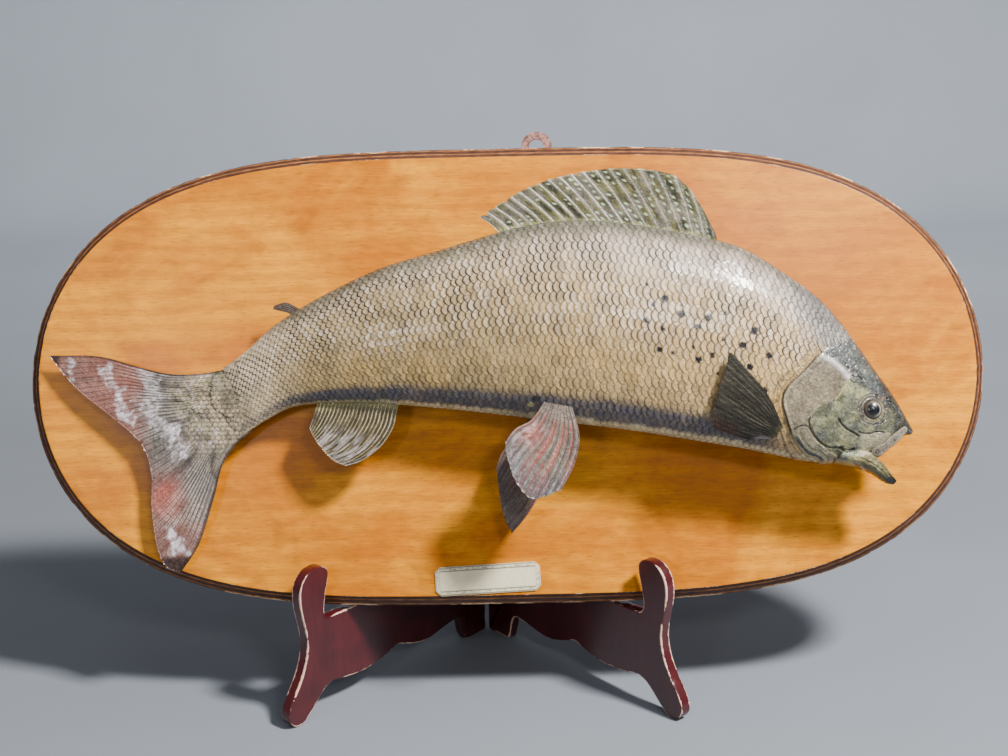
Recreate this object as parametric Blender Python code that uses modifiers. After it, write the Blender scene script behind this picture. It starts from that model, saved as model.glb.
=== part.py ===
"""A mounted Arctic grayling on an oval board that stands on a folding wooden easel.

Metres, +Z up, front towards -Y. The fish and its board are modelled in the board's own frame:
u runs right along the board, v runs up along it, and n stands out from its face. The frame's
empty leans it back. The easel's wings are drawn as radius from the hinge and height above the
floor, then turned to their opening angle.
"""

import math

import bmesh
import bpy
from mathutils import Matrix, Vector

COLLECTION = "mounted_grayling"
MM = 0.001
GAP = 0.0003

BOARD_MIDDLE = (0.0022, 0.0018)
BOARD_HALF_WIDTH = 0.2747
BOARD_HALF_HEIGHT = 0.1316
BOARD_SQUARENESS_ALONG = 3.75
BOARD_SQUARENESS_UP = 2.0
BOARD_THICKNESS = 0.012
BOARD_CHAMFER = 0.0054
BOARD_SIDES = 96
BOARD_LEAN = math.radians(17)
BOARD_CENTRE_HEIGHT = 0.1846

LABEL_SIZE = (0.060, 0.0165)
LABEL_THICKNESS = 0.0007
LABEL_PLACE = (-0.0115, -0.1147)
LABEL_TURN = math.radians(2.5)
LABEL_NICK = 0.35

HANGER_PLACE = (0.0217, 0.1352)
HANGER_RING_RADIUS = 0.0090
HANGER_RING_STEPS = 20
HANGER_NECK = math.radians(48)
HANGER_SHOULDER = 0.0135
HANGER_HOLE_RADIUS = 0.0045
HANGER_THICKNESS = 0.0012
HANGER_TAB_HALF_WIDTH = 0.0095
HANGER_TAB_LENGTH = 0.034
HANGER_SCREWS = {"hanger_screw_upper": 0.0156, "hanger_screw_lower": 0.0286}
SCREW_RADIUS = 0.0029
SCREW_HEAD = 0.0016
SCREW_CROWN = 0.62
SCREW_SIDES = 20
FISH_SCREW_RADIUS = 0.0045
FISH_SCREWS = {"fish_screw_front": (0.105, 0.020), "fish_screw_rear": (-0.020, 0.030)}

# Each row is one cut through the body, from the snout to the tail's root, in millimetres:
# the place (u, v) on the back, the place on the belly, the height of the middle above the
# board, and the half-width across the fish.
BODY_CUTS = {
    "snout tip": ((225.6, -35.0), (223.6, -37.4), 29.6, 2.2),
    "snout": ((223.4, -30.9), (218.6, -38.2), 29.7, 5.6),
    "nostril": ((215.3, -16.0), (209.5, -43.4), 29.9, 10.2),
    "eye": ((204.6, -0.3), (196.5, -48.4), 30.0, 14.6),
    "cheek": ((193.8, 15.8), (183.0, -51.6), 30.0, 18.2),
    "gill cover": ((177.2, 37.2), (166.0, -50.9), 29.6, 21.4),
    "shoulder": ((157.2, 53.5), (147.0, -46.6), 28.8, 23.6),
    "fore": ((132.7, 69.0), (125.5, -41.9), 27.9, 25.2),
    "dorsal fin front": ((105.0, 76.9), (101.2, -37.5), 27.2, 26.2),
    "dorsal fin": ((77.2, 82.6), (77.0, -33.0), 26.8, 26.6),
    "middle": ((46.8, 86.2), (48.2, -28.7), 26.6, 26.4),
    "dorsal fin rear": ((16.1, 84.3), (19.4, -24.8), 26.0, 25.3),
    "rear": ((-11.8, 77.7), (-8.1, -21.0), 25.2, 23.4),
    "vent": ((-39.8, 69.9), (-36.0, -17.5), 24.0, 20.7),
    "anal fin": ((-68.0, 62.1), (-62.0, -14.8), 22.4, 17.6),
    "anal fin rear": ((-92.9, 51.5), (-85.7, -13.6), 20.4, 14.4),
    "adipose fin": ((-112.9, 41.4), (-104.0, -13.5), 18.4, 11.6),
    "tail stem": ((-130.2, 30.6), (-119.8, -15.4), 16.6, 9.4),
    "tail wrist": ((-144.6, 18.2), (-134.6, -22.4), 15.0, 7.2),
    "tail root": ((-158.8, 8.0), (-148.4, -30.8), 13.4, 4.6),
}
BODY_FULLNESS = 0.92
BODY_SIDES = 20
# How far along the body each piece reaches, and how many rings of facets it has.
HEAD_END = 0.115
GILL_COVER_START = 0.030
TRUNK_FRONT_START = 0.030
TRUNK_FRONT_END = 0.245
TRUNK_REAR_END = 0.350
HEAD_RINGS = 25
GILL_COVER_RINGS = 20
TRUNK_FRONT_RINGS = 28
TRUNK_REAR_RINGS = 12
TAIL_STEM_RINGS = 9
JAW_RINGS = 9
CLEARANCE_RINGS = 72
FISH_MIDDLE_HEIGHT = 0.0298
GILL_COVER_PROUD = 0.0011
GILL_COVER_DEPTH = 0.0110
GILL_REACH = 0.060
ALL_THROUGH = (-0.1, 0.2)

JAW_CUTS = {
    "jaw hinge": ((186.0, -42.0), (178.5, -52.4), 29.9, 14.6),
    "jaw": ((199.0, -44.0), (193.0, -55.0), 29.9, 12.4),
    "jaw front": ((209.6, -50.6), (203.2, -59.4), 29.8, 9.0),
    "chin": ((214.6, -57.8), (209.6, -63.3), 29.7, 6.0),
    "chin tip": ((216.6, -61.9), (213.6, -64.8), 29.6, 2.6),
}

# Where the scaled neck ends and the bare head begins, from the crown round the rear of the
# gill cover to the throat (u, v in millimetres).
NECK_LINE = (
    (222.0, 12.0), (204.6, 1.6), (199.0, -1.4), (190.0, -2.6), (181.0, 3.4), (173.0, 9.4),
    (162.0, -0.4), (152.4, -9.4), (149.6, -18.0), (152.6, -28.6), (156.6, -38.6),
    (163.4, -46.8), (172.0, -52.0), (178.0, -58.0),
)
# The front edge of the gill cover, from its top corner to the throat.
GILL_FRONT_LINE = (
    (188.8, -3.4), (184.8, -8.4), (178.0, -17.0), (168.6, -22.0), (165.0, -29.0),
    (168.4, -38.0), (174.4, -44.0), (181.0, -49.0), (181.0, -58.0),
)
EYE_PLACE = (199.6, -22.9)
EYE_RADIUS = 0.0056
EYE_DEPTH = 0.0040
EYE_SINK = 0.0019
MAXILLA_LINE = ((217.0, -32.6), (212.2, -37.4), (206.4, -42.4), (200.6, -45.8))
MAXILLA_HALF_WIDTHS = (0.0016, 0.0026, 0.0029, 0.0031)
MAXILLA_THICKNESS = 0.0050
MAXILLA_PROUD = 0.0016

FIN_THICKNESS = 0.0010
ADIPOSE_THICKNESS = 0.0018
# The pelvic fins' height above the board at their base, and how much farther out each fin's
# margin stands than its base.
PELVIC_RIGHT_HEIGHT = 0.0405
PELVIC_RIGHT_SPREAD = 0.0105
PELVIC_LEFT_HEIGHT = 0.0125
PELVIC_LEFT_SPREAD = 0.0060
PECTORAL_CLEARANCE = 0.0007
PECTORAL_RIGHT_SPREAD = 0.0036
PECTORAL_LEFT_SPREAD = 0.0030
ANAL_SPREAD = 0.0040
TAIL_FIN_ROOT = (-154.0, -12.0)
TAIL_FIN_DROP = 0.052
TAIL_FIN_DROP_REACH = 0.12
# Each fin: how many strips between its rays and along them, then its base, its first ray, its
# margin and its last ray, as places (u, v) in millimetres.
FINS = {
    "dorsal_fin": (
        18, 3,
        ((119.5, 70.0), (105.0, 74.5), (77.2, 80.0), (46.8, 83.6), (20.0, 82.4), (0.5, 78.6)),
        ((119.5, 70.0), (119.9, 74.5), (118.4, 79.0)),
        ((118.4, 79.0), (116.0, 84.0), (110.4, 95.0), (102.2, 106.0), (91.4, 112.4), (64.0, 115.2),
         (34.0, 111.2), (14.0, 104.4), (-2.6, 95.2), (-11.8, 89.2)),
        ((0.5, 78.6), (-5.0, 84.2), (-11.8, 89.2)),
    ),
    "adipose_fin": (
        5, 3,
        ((-112.0, 39.0), (-117.0, 36.0)),
        ((-112.0, 39.0), (-116.6, 41.8), (-122.0, 44.2), (-129.0, 42.4)),
        ((-129.0, 42.4), (-129.4, 40.6)),
        ((-117.0, 36.0), (-121.4, 38.4), (-129.4, 40.6)),
    ),
    "anal_fin": (
        11, 3,
        ((-58.6, -12.0), (-80.0, -11.0), (-104.2, -10.6)),
        ((-58.6, -12.0), (-60.2, -19.0), (-62.6, -28.0), (-69.6, -38.0), (-80.0, -45.4), (-89.4, -48.4)),
        ((-89.4, -48.4), (-98.0, -44.0), (-106.4, -33.0), (-109.2, -27.0)),
        ((-104.2, -10.6), (-106.4, -19.0), (-109.2, -27.0)),
    ),
    "caudal_fin": (
        20, 6,
        ((-155.6, 8.2), (-156.0, -2.0), (-152.4, -18.0), (-146.2, -30.0)),
        ((-155.6, 8.2), (-172.0, 5.2), (-190.0, 5.2), (-208.0, 10.2), (-230.0, 16.0), (-257.3, 16.6)),
        ((-257.3, 16.6), (-243.6, -1.0), (-222.4, -18.4), (-206.6, -33.2), (-200.6, -50.0),
         (-200.8, -70.0), (-198.2, -92.0), (-193.0, -104.0), (-185.0, -107.0)),
        ((-146.2, -30.0), (-152.0, -34.6), (-160.0, -47.0), (-165.2, -65.0), (-174.0, -90.6),
         (-185.0, -107.0)),
    ),
    "pelvic_fin_right": (
        8, 4,
        ((21.0, -14.0), (30.0, -16.4), (38.0, -18.4)),
        ((21.0, -14.0), (13.0, -25.0), (5.6, -29.4), (-0.2, -36.6)),
        ((-0.2, -36.6), (0.4, -44.0), (4.6, -57.5), (12.2, -67.6), (20.8, -66.4), (29.4, -63.2)),
        ((38.0, -18.4), (40.4, -34.6), (37.4, -48.6), (29.4, -63.2)),
    ),
    "pelvic_fin_left": (
        8, 4,
        ((22.0, -16.0), (29.0, -18.0), (36.0, -20.0)),
        ((22.0, -16.0), (8.0, -30.0), (-1.6, -42.0), (-5.4, -51.0)),
        ((-5.4, -51.0), (-4.4, -64.0), (-2.6, -77.0), (2.0, -88.4)),
        ((36.0, -20.0), (33.0, -35.0), (27.0, -51.0), (17.4, -69.0), (9.8, -80.0), (2.0, -88.4)),
    ),
    "pectoral_fin_right": (
        8, 4,
        ((150.2, -31.0), (147.6, -35.0), (144.4, -38.0)),
        ((150.2, -31.0), (142.0, -14.4), (131.4, -1.4), (120.6, 10.4)),
        ((120.6, 10.4), (117.2, -2.4), (113.6, -14.0), (111.8, -25.4), (113.4, -31.2)),
        ((144.4, -38.0), (139.6, -37.6), (132.4, -37.8), (122.6, -34.8), (113.4, -31.2)),
    ),
    "pectoral_fin_left": (
        8, 4,
        ((150.2, -31.0), (147.6, -35.0), (144.4, -38.0)),
        ((150.2, -31.0), (136.0, -26.0), (118.0, -21.0), (99.0, -18.6)),
        ((99.0, -18.6), (96.8, -24.0), (101.0, -31.0), (110.0, -37.0)),
        ((144.4, -38.0), (136.0, -40.8), (124.0, -40.6), (110.0, -37.0)),
    ),
}

HINGE_PLACE = (-0.0140, 0.0580)
WING_TURN = math.radians(50.2)
WING_THICKNESS = 0.007
# The wing's outline as (radius from the hinge, height above the floor) in millimetres.
WING_START = 1.1
WING_TOP = 150.0
UNDER_ARCH = ((21.6, 0.0), (23.4, 6.0), (25.4, 13.6), (29.0, 16.9), (41.0, 15.6), (52.0, 13.6),
              (61.0, 13.2), (71.0, 15.6), (83.2, 19.6))
OUTER_ARCH = ((83.2, 19.6), (95.2, 16.4), (110.0, 14.2), (124.0, 15.0), (136.8, 17.3))
FOOT_INSIDE = ((136.8, 17.3), (143.0, 15.2), (148.0, 11.2), (153.6, 5.8), (160.6, 0.0))
OUTER_EDGE = ((167.0, 0.0), (171.0, 4.0), (172.0, 8.8), (169.2, 15.4), (163.0, 24.4), (157.4, 35.0),
              (154.9, 47.0), (156.6, 59.0), (158.6, 69.0), (158.6, 78.0), (155.6, 85.0), (149.6, 89.4),
              (141.6, 89.9), (136.0, 86.0), (137.2, 78.0), (140.0, 67.0), (140.2, 59.6), (136.4, 55.4))
UPPER_REST_TOP = 150.6
POST_TOP = ((70.0, 158.6), (60.0, 165.0), (46.0, 167.0), (28.0, 161.6), (10.0, 152.8))
SEAT_REACH = 0.112
LOWER_REST_TOP = 70.0
UPPER_REST_FOOT = 140.0
COVE = ((92.0, 78.0), (72.0, 92.0), (64.0, 108.0), (68.0, 124.0))

BARREL_RADIUS = 0.0017
LEAF_THICKNESS = 0.0008
LEAF_WIDTH = 0.0066
BARREL_OFFSET = 0.0012
BUTT_LENGTH = 0.024
BUTT_HEIGHTS = {"easel_hinge_lower": 0.030, "easel_hinge_upper": 0.112}


def clear_scene():
    for leftover in list(bpy.data.objects):
        bpy.data.objects.remove(leftover)


def collection(name, hidden=False):
    made = bpy.data.collections.new(name)
    bpy.context.scene.collection.children.link(made)
    made.hide_render = hidden
    return made


def material(name, colour, roughness, metallic=0.0):
    made = bpy.data.materials.new(name)
    made.use_nodes = True
    shader = made.node_tree.nodes["Principled BSDF"]
    shader.inputs["Base Color"].default_value = (*colour, 1.0)
    shader.inputs["Roughness"].default_value = roughness
    shader.inputs["Metallic"].default_value = metallic
    made.diffuse_color = (*colour, 1.0)
    return made


def empty(name, place=(0, 0, 0), turn=(0, 0, 0), parent=None):
    made = bpy.data.objects.new(name, None)
    made.location = place
    made.rotation_euler = turn
    made.parent = parent
    PARTS.objects.link(made)
    return made


def add(name, mesh, look, parent, place=(0, 0, 0), turn=(0, 0, 0), smooth=True):
    """One sub-part: a mesh with its material, placed under its parent."""
    made = bpy.data.objects.new(name, mesh)
    mesh.name = name
    mesh.materials.clear()
    mesh.materials.append(look)
    made.location = place
    made.rotation_euler = turn
    made.parent = parent
    PARTS.objects.link(made)
    if smooth:
        mesh.shade_smooth()
        mesh.set_sharp_from_angle(angle=math.radians(40))
    return made


def cutter(name, mesh, parent):
    made = bpy.data.objects.new(name, mesh)
    made.parent = parent
    made.hide_render = True
    made.display_type = "WIRE"
    CUTTERS.objects.link(made)
    return made


def boolean(part, tool, operation="DIFFERENCE"):
    modifier = part.modifiers.new(tool.name, "BOOLEAN")
    modifier.operation = operation
    modifier.solver = "EXACT"
    modifier.object = tool


def to_mesh(bm, name):
    bmesh.ops.recalc_face_normals(bm, faces=bm.faces)
    mesh = bpy.data.meshes.new(name)
    bm.to_mesh(mesh)
    bm.free()
    return mesh


def smooth_line(points, steps=4):
    """A Catmull-Rom line through the points, with steps pieces between neighbours."""
    points = [Vector(p) for p in points]
    padded = [2 * points[0] - points[1], *points, 2 * points[-1] - points[-2]]
    line = []
    for before, start, end, after in zip(padded, padded[1:], padded[2:], padded[3:]):
        for step in range(steps):
            t = step / steps
            pull = (end - before) * t * (1 - t) ** 2 / 2 - (after - start) * t * t * (1 - t) / 2
            line.append(start * (1 + 2 * t) * (1 - t) ** 2 + end * t * t * (3 - 2 * t) + pull)
    line.append(points[-1])
    return line


def along(line, share):
    """The point at a share (0 to 1) of a line's length."""
    lengths = [(b - a).length for a, b in zip(line, line[1:])]
    target = share * sum(lengths)
    for start, end, length in zip(line, line[1:], lengths):
        if target <= length:
            return start.lerp(end, target / length)
        target -= length
    return line[-1].copy()


def prism(outline, low, high, name):
    """A closed outline, carried from one height to another."""
    bm = bmesh.new()
    face = bm.faces.new([bm.verts.new((p[0], p[1], low)) for p in outline])
    face.normal_update()
    bmesh.ops.triangulate(bm, faces=[face])
    raised = bmesh.ops.extrude_face_region(bm, geom=bm.faces[:])
    for item in raised["geom"]:
        if isinstance(item, bmesh.types.BMVert):
            item.co.z = high
    return to_mesh(bm, name)


class Loft:
    """A body of smooth cross-sections, each held by a place on the back and one on the belly."""

    def __init__(self, cuts, fullness=BODY_FULLNESS):
        self.fullness = fullness
        self.rows = []
        self.knots = [0.0]
        for back, belly, height, half_width in cuts.values():
            self.rows.append([value * MM for value in (*back, *belly, height, half_width)])
        for one, two in zip(self.rows, self.rows[1:]):
            step = math.hypot(one[0] + one[2] - two[0] - two[2], one[1] + one[3] - two[1] - two[3]) / 2
            self.knots.append(self.knots[-1] + step)
        self.length = self.knots[-1]
        self.slopes = [self.slope(index) for index in range(len(self.rows))]

    def slope(self, index):
        last = len(self.rows) - 1
        low, high = max(index - 1, 0), min(index + 1, last)
        if low == index or high == index:
            span = self.knots[high] - self.knots[low]
            return [(b - a) / span for a, b in zip(self.rows[low], self.rows[high])]
        before = self.knots[index] - self.knots[low]
        after = self.knots[high] - self.knots[index]
        return [
            ((c - b) / after * before + (b - a) / before * after) / (before + after)
            for a, b, c in zip(self.rows[low], self.rows[index], self.rows[high])
        ]

    def at(self, distance):
        """Back, belly (u, v), height and half-width at a distance from the front end."""
        distance = min(max(distance, 0.0), self.length)
        index = max(i for i, knot in enumerate(self.knots[:-1]) if knot <= distance)
        span = self.knots[index + 1] - self.knots[index]
        t = (distance - self.knots[index]) / span
        values = []
        for a, b, m, k in zip(self.rows[index], self.rows[index + 1], self.slopes[index],
                              self.slopes[index + 1]):
            values.append(
                a * (1 + 2 * t) * (1 - t) ** 2 + b * t * t * (3 - 2 * t)
                + span * (m * t * (1 - t) ** 2 - k * t * t * (1 - t))
            )
        return Vector(values[:2]), Vector(values[2:4]), values[4], values[5]

    def point(self, distance, angle, grow=0.0):
        """A point on the skin: angle 0 is the back, a quarter turn is the side away from the board."""
        back, belly, height, half_width = self.at(distance)
        middle = (back + belly) / 2
        half = (back - belly) / 2
        across = math.sin(angle)
        out = math.copysign(abs(across) ** self.fullness, across) * (half_width + grow)
        flat = middle + half.normalized() * (half.length + grow) * math.cos(angle)
        return Vector((flat.x, flat.y, max(height + out, GAP - grow)))

    def mesh(self, name, start, end, rings, grow=0.0):
        bm = bmesh.new()
        loops = []
        for ring in range(rings + 1):
            distance = start + (end - start) * ring / rings
            turns = [2 * math.pi * side / BODY_SIDES for side in range(BODY_SIDES)]
            loops.append([bm.verts.new(self.point(distance, turn, grow)) for turn in turns])
        for one, two in zip(loops, loops[1:]):
            for side in range(BODY_SIDES):
                after = (side + 1) % BODY_SIDES
                bm.faces.new((one[side], one[after], two[after], two[side]))
        bm.faces.new(loops[0])
        bm.faces.new(loops[-1])
        return to_mesh(bm, name)

    def locate(self, u, v):
        """The distance along the body and the turn from the back, on the near side, of a place (u, v)."""
        place = Vector((u, v))
        low, high = 0.0, self.length
        for _ in range(30):
            distance = (low + high) / 2
            back, belly, _, _ = self.at(distance)
            if (back - belly).cross(place - belly) > 0:
                low = distance
            else:
                high = distance
        cut = back - belly
        share = (place - (back + belly) / 2).dot(cut) / cut.length_squared * 2
        return distance, math.acos(min(max(share, -1.0), 1.0))

    def flank(self, u, v, far=False):
        """The height above the board of the skin over (u, v)."""
        distance, turn = self.locate(u, v)
        return self.point(distance, -turn if far else turn).z


def fan(rays, rows, base, first, margin, last, lift):
    """A fin's middle surface, stretched between its base, its first ray, its margin and its last ray.

    Each line is a list of places (u, v) in millimetres, and lift(u, v, share along the ray) gives
    the height above the board.
    """
    base, first, margin, last = (smooth_line(metres(line)) for line in (base, first, margin, last))
    bm = bmesh.new()
    grid = []
    for ray in range(rays + 1):
        over = ray / rays
        root, tip = along(base, over), along(margin, over)
        column = []
        for row in range(rows + 1):
            out = row / rows
            ends = along(first, out).lerp(along(last, out), over)
            corners = base[0].lerp(margin[0], out).lerp(base[-1].lerp(margin[-1], out), over)
            place = root.lerp(tip, out) + ends - corners
            column.append(bm.verts.new((place.x, place.y, lift(place.x, place.y, out))))
        grid.append(column)
    for one, two in zip(grid, grid[1:]):
        for row in range(rows):
            bm.faces.new((one[row], one[row + 1], two[row + 1], two[row]))
    return to_mesh(bm, "fan")


def metres(points):
    return [Vector((u * MM, v * MM)) for u, v in points]


def signed_power(value, power):
    return math.copysign(abs(value) ** power, value)


def board_outline(inset):
    """The oval rim, drawn in from the outer edge by a distance: |u|^along + |v|^up = 1."""
    outline = []
    for side in range(BOARD_SIDES):
        turn = 2 * math.pi * side / BOARD_SIDES
        share_u = signed_power(math.cos(turn), 2 / BOARD_SQUARENESS_ALONG)
        share_v = signed_power(math.sin(turn), 2 / BOARD_SQUARENESS_UP)
        slope = Vector((
            BOARD_SQUARENESS_ALONG * signed_power(share_u, BOARD_SQUARENESS_ALONG - 1) / BOARD_HALF_WIDTH,
            BOARD_SQUARENESS_UP * signed_power(share_v, BOARD_SQUARENESS_UP - 1) / BOARD_HALF_HEIGHT,
        ))
        rim = Vector((share_u * BOARD_HALF_WIDTH, share_v * BOARD_HALF_HEIGHT))
        outline.append(Vector(BOARD_MIDDLE) + rim - slope.normalized() * inset)
    return outline


def make_board():
    bm = bmesh.new()
    levels = ((BOARD_CHAMFER, 0.0), (0.0, -BOARD_CHAMFER), (0.0, -BOARD_THICKNESS))
    rings = []
    for inset, height in levels:
        rings.append([bm.verts.new((*place, height)) for place in board_outline(inset)])
    for one, two in zip(rings, rings[1:]):
        for side in range(BOARD_SIDES):
            after = (side + 1) % BOARD_SIDES
            bm.faces.new((one[side], one[after], two[after], two[side]))
    bm.faces.new(rings[0])
    bm.faces.new(rings[-1])
    add("board", to_mesh(bm, "board"), WOOD, FRAME, smooth=False)


def make_label():
    half_u, half_v = LABEL_SIZE[0] / 2, LABEL_SIZE[1] / 2
    nick = half_v * LABEL_NICK
    corners = []
    for sign_u, sign_v in ((1, 1), (-1, 1), (-1, -1), (1, -1)):
        side = (sign_u * half_u, sign_v * (half_v - nick))
        end = (sign_u * (half_u - nick), sign_v * half_v)
        corners += [side, end] if sign_u * sign_v > 0 else [end, side]
    mesh = prism(corners, GAP, GAP + LABEL_THICKNESS, "label")
    add("label", mesh, PAPER, FRAME, place=(*LABEL_PLACE, 0), turn=(0, 0, LABEL_TURN), smooth=False)


def make_hanger():
    """A ring above the board's edge, on a tab that two screws hold to the board's back."""
    outline = [
        Vector((-HANGER_TAB_HALF_WIDTH, -HANGER_TAB_LENGTH)),
        Vector((HANGER_TAB_HALF_WIDTH, -HANGER_TAB_LENGTH)),
        Vector((HANGER_TAB_HALF_WIDTH, -HANGER_SHOULDER)),
    ]
    for step in range(HANGER_RING_STEPS + 1):
        turn = -math.pi / 2 + HANGER_NECK + 2 * (math.pi - HANGER_NECK) * step / HANGER_RING_STEPS
        outline.append(Vector((math.cos(turn), math.sin(turn))) * HANGER_RING_RADIUS)
    outline.append(Vector((-HANGER_TAB_HALF_WIDTH, -HANGER_SHOULDER)))
    back = -BOARD_THICKNESS - GAP
    ring = add("hanger_plate", prism(outline, back - HANGER_THICKNESS, back, "hanger_plate"), IRON, FRAME,
               place=(*HANGER_PLACE, 0), smooth=False)
    bm = bmesh.new()
    bmesh.ops.create_cone(bm, cap_ends=True, segments=24, radius1=HANGER_HOLE_RADIUS,
                          radius2=HANGER_HOLE_RADIUS, depth=4 * HANGER_THICKNESS)
    hole = cutter("hanger_hole", to_mesh(bm, "hanger_hole"), FRAME)
    hole.location = (*HANGER_PLACE, back - HANGER_THICKNESS / 2)
    boolean(ring, hole)
    under = back - HANGER_THICKNESS - GAP
    for name, drop in HANGER_SCREWS.items():
        place = (HANGER_PLACE[0], HANGER_PLACE[1] - drop, under)
        add(name, screw_head(SCREW_RADIUS, SCREW_HEAD), IRON, FRAME, place=place)


def screw_head(radius, height):
    """A low dome whose flat side lies at the top, at its origin."""
    bm = bmesh.new()
    bmesh.ops.create_cone(bm, cap_ends=True, segments=SCREW_SIDES, radius1=radius * SCREW_CROWN,
                          radius2=radius, depth=height, matrix=Matrix.Translation((0, 0, -height / 2)))
    return to_mesh(bm, "screw_head")


def make_fish_screws():
    back = -BOARD_THICKNESS - GAP
    for name, place in FISH_SCREWS.items():
        add(name, screw_head(FISH_SCREW_RADIUS, SCREW_HEAD), STEEL, FRAME, place=(*place, back))


def make_body(body):
    neck = smooth_line(metres(NECK_LINE), 3)
    behind = metres(((120.0, -80.0), (-60.0, -80.0), (-60.0, 120.0), (222.0, 120.0)))
    head = add("head", body.mesh("head", 0.0, HEAD_END, HEAD_RINGS), SKIN_HEAD, FRAME)
    boolean(head, cutter("neck_side", prism(neck + behind, *ALL_THROUGH, "neck_side"), FRAME))

    front = body.mesh("trunk_front", TRUNK_FRONT_START, TRUNK_FRONT_END - GAP / 2, TRUNK_FRONT_RINGS)
    kept = prism(shrink(neck + behind, GAP), *ALL_THROUGH, "trunk_side")
    boolean(add("trunk_front", front, SKIN, FRAME), cutter("trunk_side", kept, FRAME), "INTERSECT")
    rear = body.mesh("trunk_rear", TRUNK_FRONT_END + GAP / 2, TRUNK_REAR_END - GAP / 2, TRUNK_REAR_RINGS)
    add("trunk_rear", rear, SKIN, FRAME)
    stem = body.mesh("tail_stem", TRUNK_REAR_END + GAP / 2, body.length, TAIL_STEM_RINGS)
    add("tail_stem", stem, SKIN, FRAME)

    front = smooth_line(metres(GILL_FRONT_LINE), 3)
    cover_outline = smooth_line(metres(NECK_LINE[4:-1]), 3) + front[-4::-1]
    pocket_outline = front + metres(((130.0, -58.0), (130.0, 25.0), (186.0, 25.0)))
    for side, sign in (("right", 1), ("left", -1)):
        name = "gill_cover_" + side
        shell = body.mesh(name, GILL_COVER_START, HEAD_END, GILL_COVER_RINGS, grow=GILL_COVER_PROUD)
        cover = add(name, shell, SKIN_GILL, FRAME)
        outer = FISH_MIDDLE_HEIGHT + sign * GILL_REACH
        inner = FISH_MIDDLE_HEIGHT + sign * GILL_COVER_DEPTH
        slab = prism(shrink(cover_outline, GAP), *sorted((inner, outer)), name + "_slab")
        boolean(cover, cutter(name + "_slab", slab, FRAME), "INTERSECT")
        pocket = prism(pocket_outline, *sorted((inner - sign * GAP, outer)), name + "_pocket")
        boolean(head, cutter(name + "_pocket", pocket, FRAME))
    return head


def shrink(outline, distance):
    """The outline moved inwards by a distance."""
    area = sum(a.x * b.y - b.x * a.y for a, b in zip(outline, outline[1:] + outline[:1]))
    sense = math.copysign(1, area)
    moved = []
    for before, here, after in zip(outline[-1:] + outline[:-1], outline, outline[1:] + outline[:1]):
        run = (after - before).normalized()
        moved.append(here + Vector((-run.y, run.x)) * sense * distance)
    return moved


def make_eyes(body, head):
    u, v = EYE_PLACE[0] * MM, EYE_PLACE[1] * MM
    for side, far, sign in (("right", False, 1), ("left", True, -1)):
        height = body.flank(u, v, far) - sign * EYE_SINK
        for grow, hidden in ((0.0, False), (GAP, True)):
            bm = bmesh.new()
            bmesh.ops.create_uvsphere(bm, u_segments=14, v_segments=8, radius=1.0)
            size = (EYE_RADIUS + grow, EYE_RADIUS + grow, EYE_DEPTH + grow)
            bmesh.ops.scale(bm, vec=size, verts=bm.verts)
            bmesh.ops.translate(bm, vec=(u, v, height), verts=bm.verts)
            mesh = to_mesh(bm, "eye_" + side)
            if hidden:
                boolean(head, cutter("socket_" + side, mesh, FRAME))
            else:
                add("eye_" + side, mesh, EYE, FRAME)


def make_maxillae(body, clearances):
    """A narrow bone along each side of the upper jaw, with a round rear end."""
    line = smooth_line(metres(MAXILLA_LINE), 3)
    steps = len(line) - 1
    upper, lower = [], []
    for index, place in enumerate(line):
        half = along([Vector((half, 0)) for half in MAXILLA_HALF_WIDTHS], index / steps).x
        run = (line[min(index + 1, steps)] - line[max(index - 1, 0)]).normalized()
        side = Vector((-run.y, run.x)) * half
        upper.append((place - side, place))
        lower.append((place + side, place))
    end = line[-1]
    aim = math.atan2((end - line[-2]).y, (end - line[-2]).x)
    arc = []
    for turn in (-math.pi / 3, -math.pi / 6, 0, math.pi / 6, math.pi / 3):
        out = Vector((math.cos(aim + turn), math.sin(aim + turn))) * MAXILLA_HALF_WIDTHS[-1]
        arc.append((end + out, end))
    for side, sign in (("right", 1), ("left", -1)):
        bm = bmesh.new()
        rings = []
        for depth in (MAXILLA_PROUD, MAXILLA_PROUD - MAXILLA_THICKNESS):
            ring = []
            for place, spine in upper + arc + lower[::-1]:
                height = body.flank(spine.x, spine.y, sign < 0) + sign * depth
                ring.append(bm.verts.new((place.x, place.y, height)))
            rings.append(ring)
        inner, outer = rings
        count = len(inner)
        for index in range(count):
            after = (index + 1) % count
            bm.faces.new((inner[index], inner[after], outer[after], outer[index]))
        for ring in rings:
            cap = bm.faces.new(ring)
            cap.normal_update()
            bmesh.ops.triangulate(bm, faces=[cap])
        part = add("maxilla_" + side, to_mesh(bm, "maxilla"), SKIN_JAW, FRAME, smooth=False)
        for clearance in clearances:
            boolean(part, clearance)


def middle_lift(body, away=0.0):
    """Keeps a fin in the fish's middle plane, or lets it stand out a little towards its margin."""
    return lambda u, v, out: body.at(body.locate(u, v)[0])[2] + away * out


def tail_lift(body):
    """The tail fin leaves the body's middle plane and comes slowly nearer to the board."""
    root_u, root_v = (value * MM for value in TAIL_FIN_ROOT)
    height = body.at(body.length)[2]

    def lift(u, v, out):
        reach = min(math.hypot(u - root_u, v - root_v), TAIL_FIN_DROP_REACH)
        return height - TAIL_FIN_DROP * reach
    return lift


def skin_lift(body, far, spread):
    """Lays a fin along the flank, standing off it more towards its margin."""
    def lift(u, v, out):
        away = PECTORAL_CLEARANCE + spread * out
        if far:
            return max(body.flank(u, v, True) - away, FIN_THICKNESS)
        return body.flank(u, v) + away
    return lift


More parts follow.
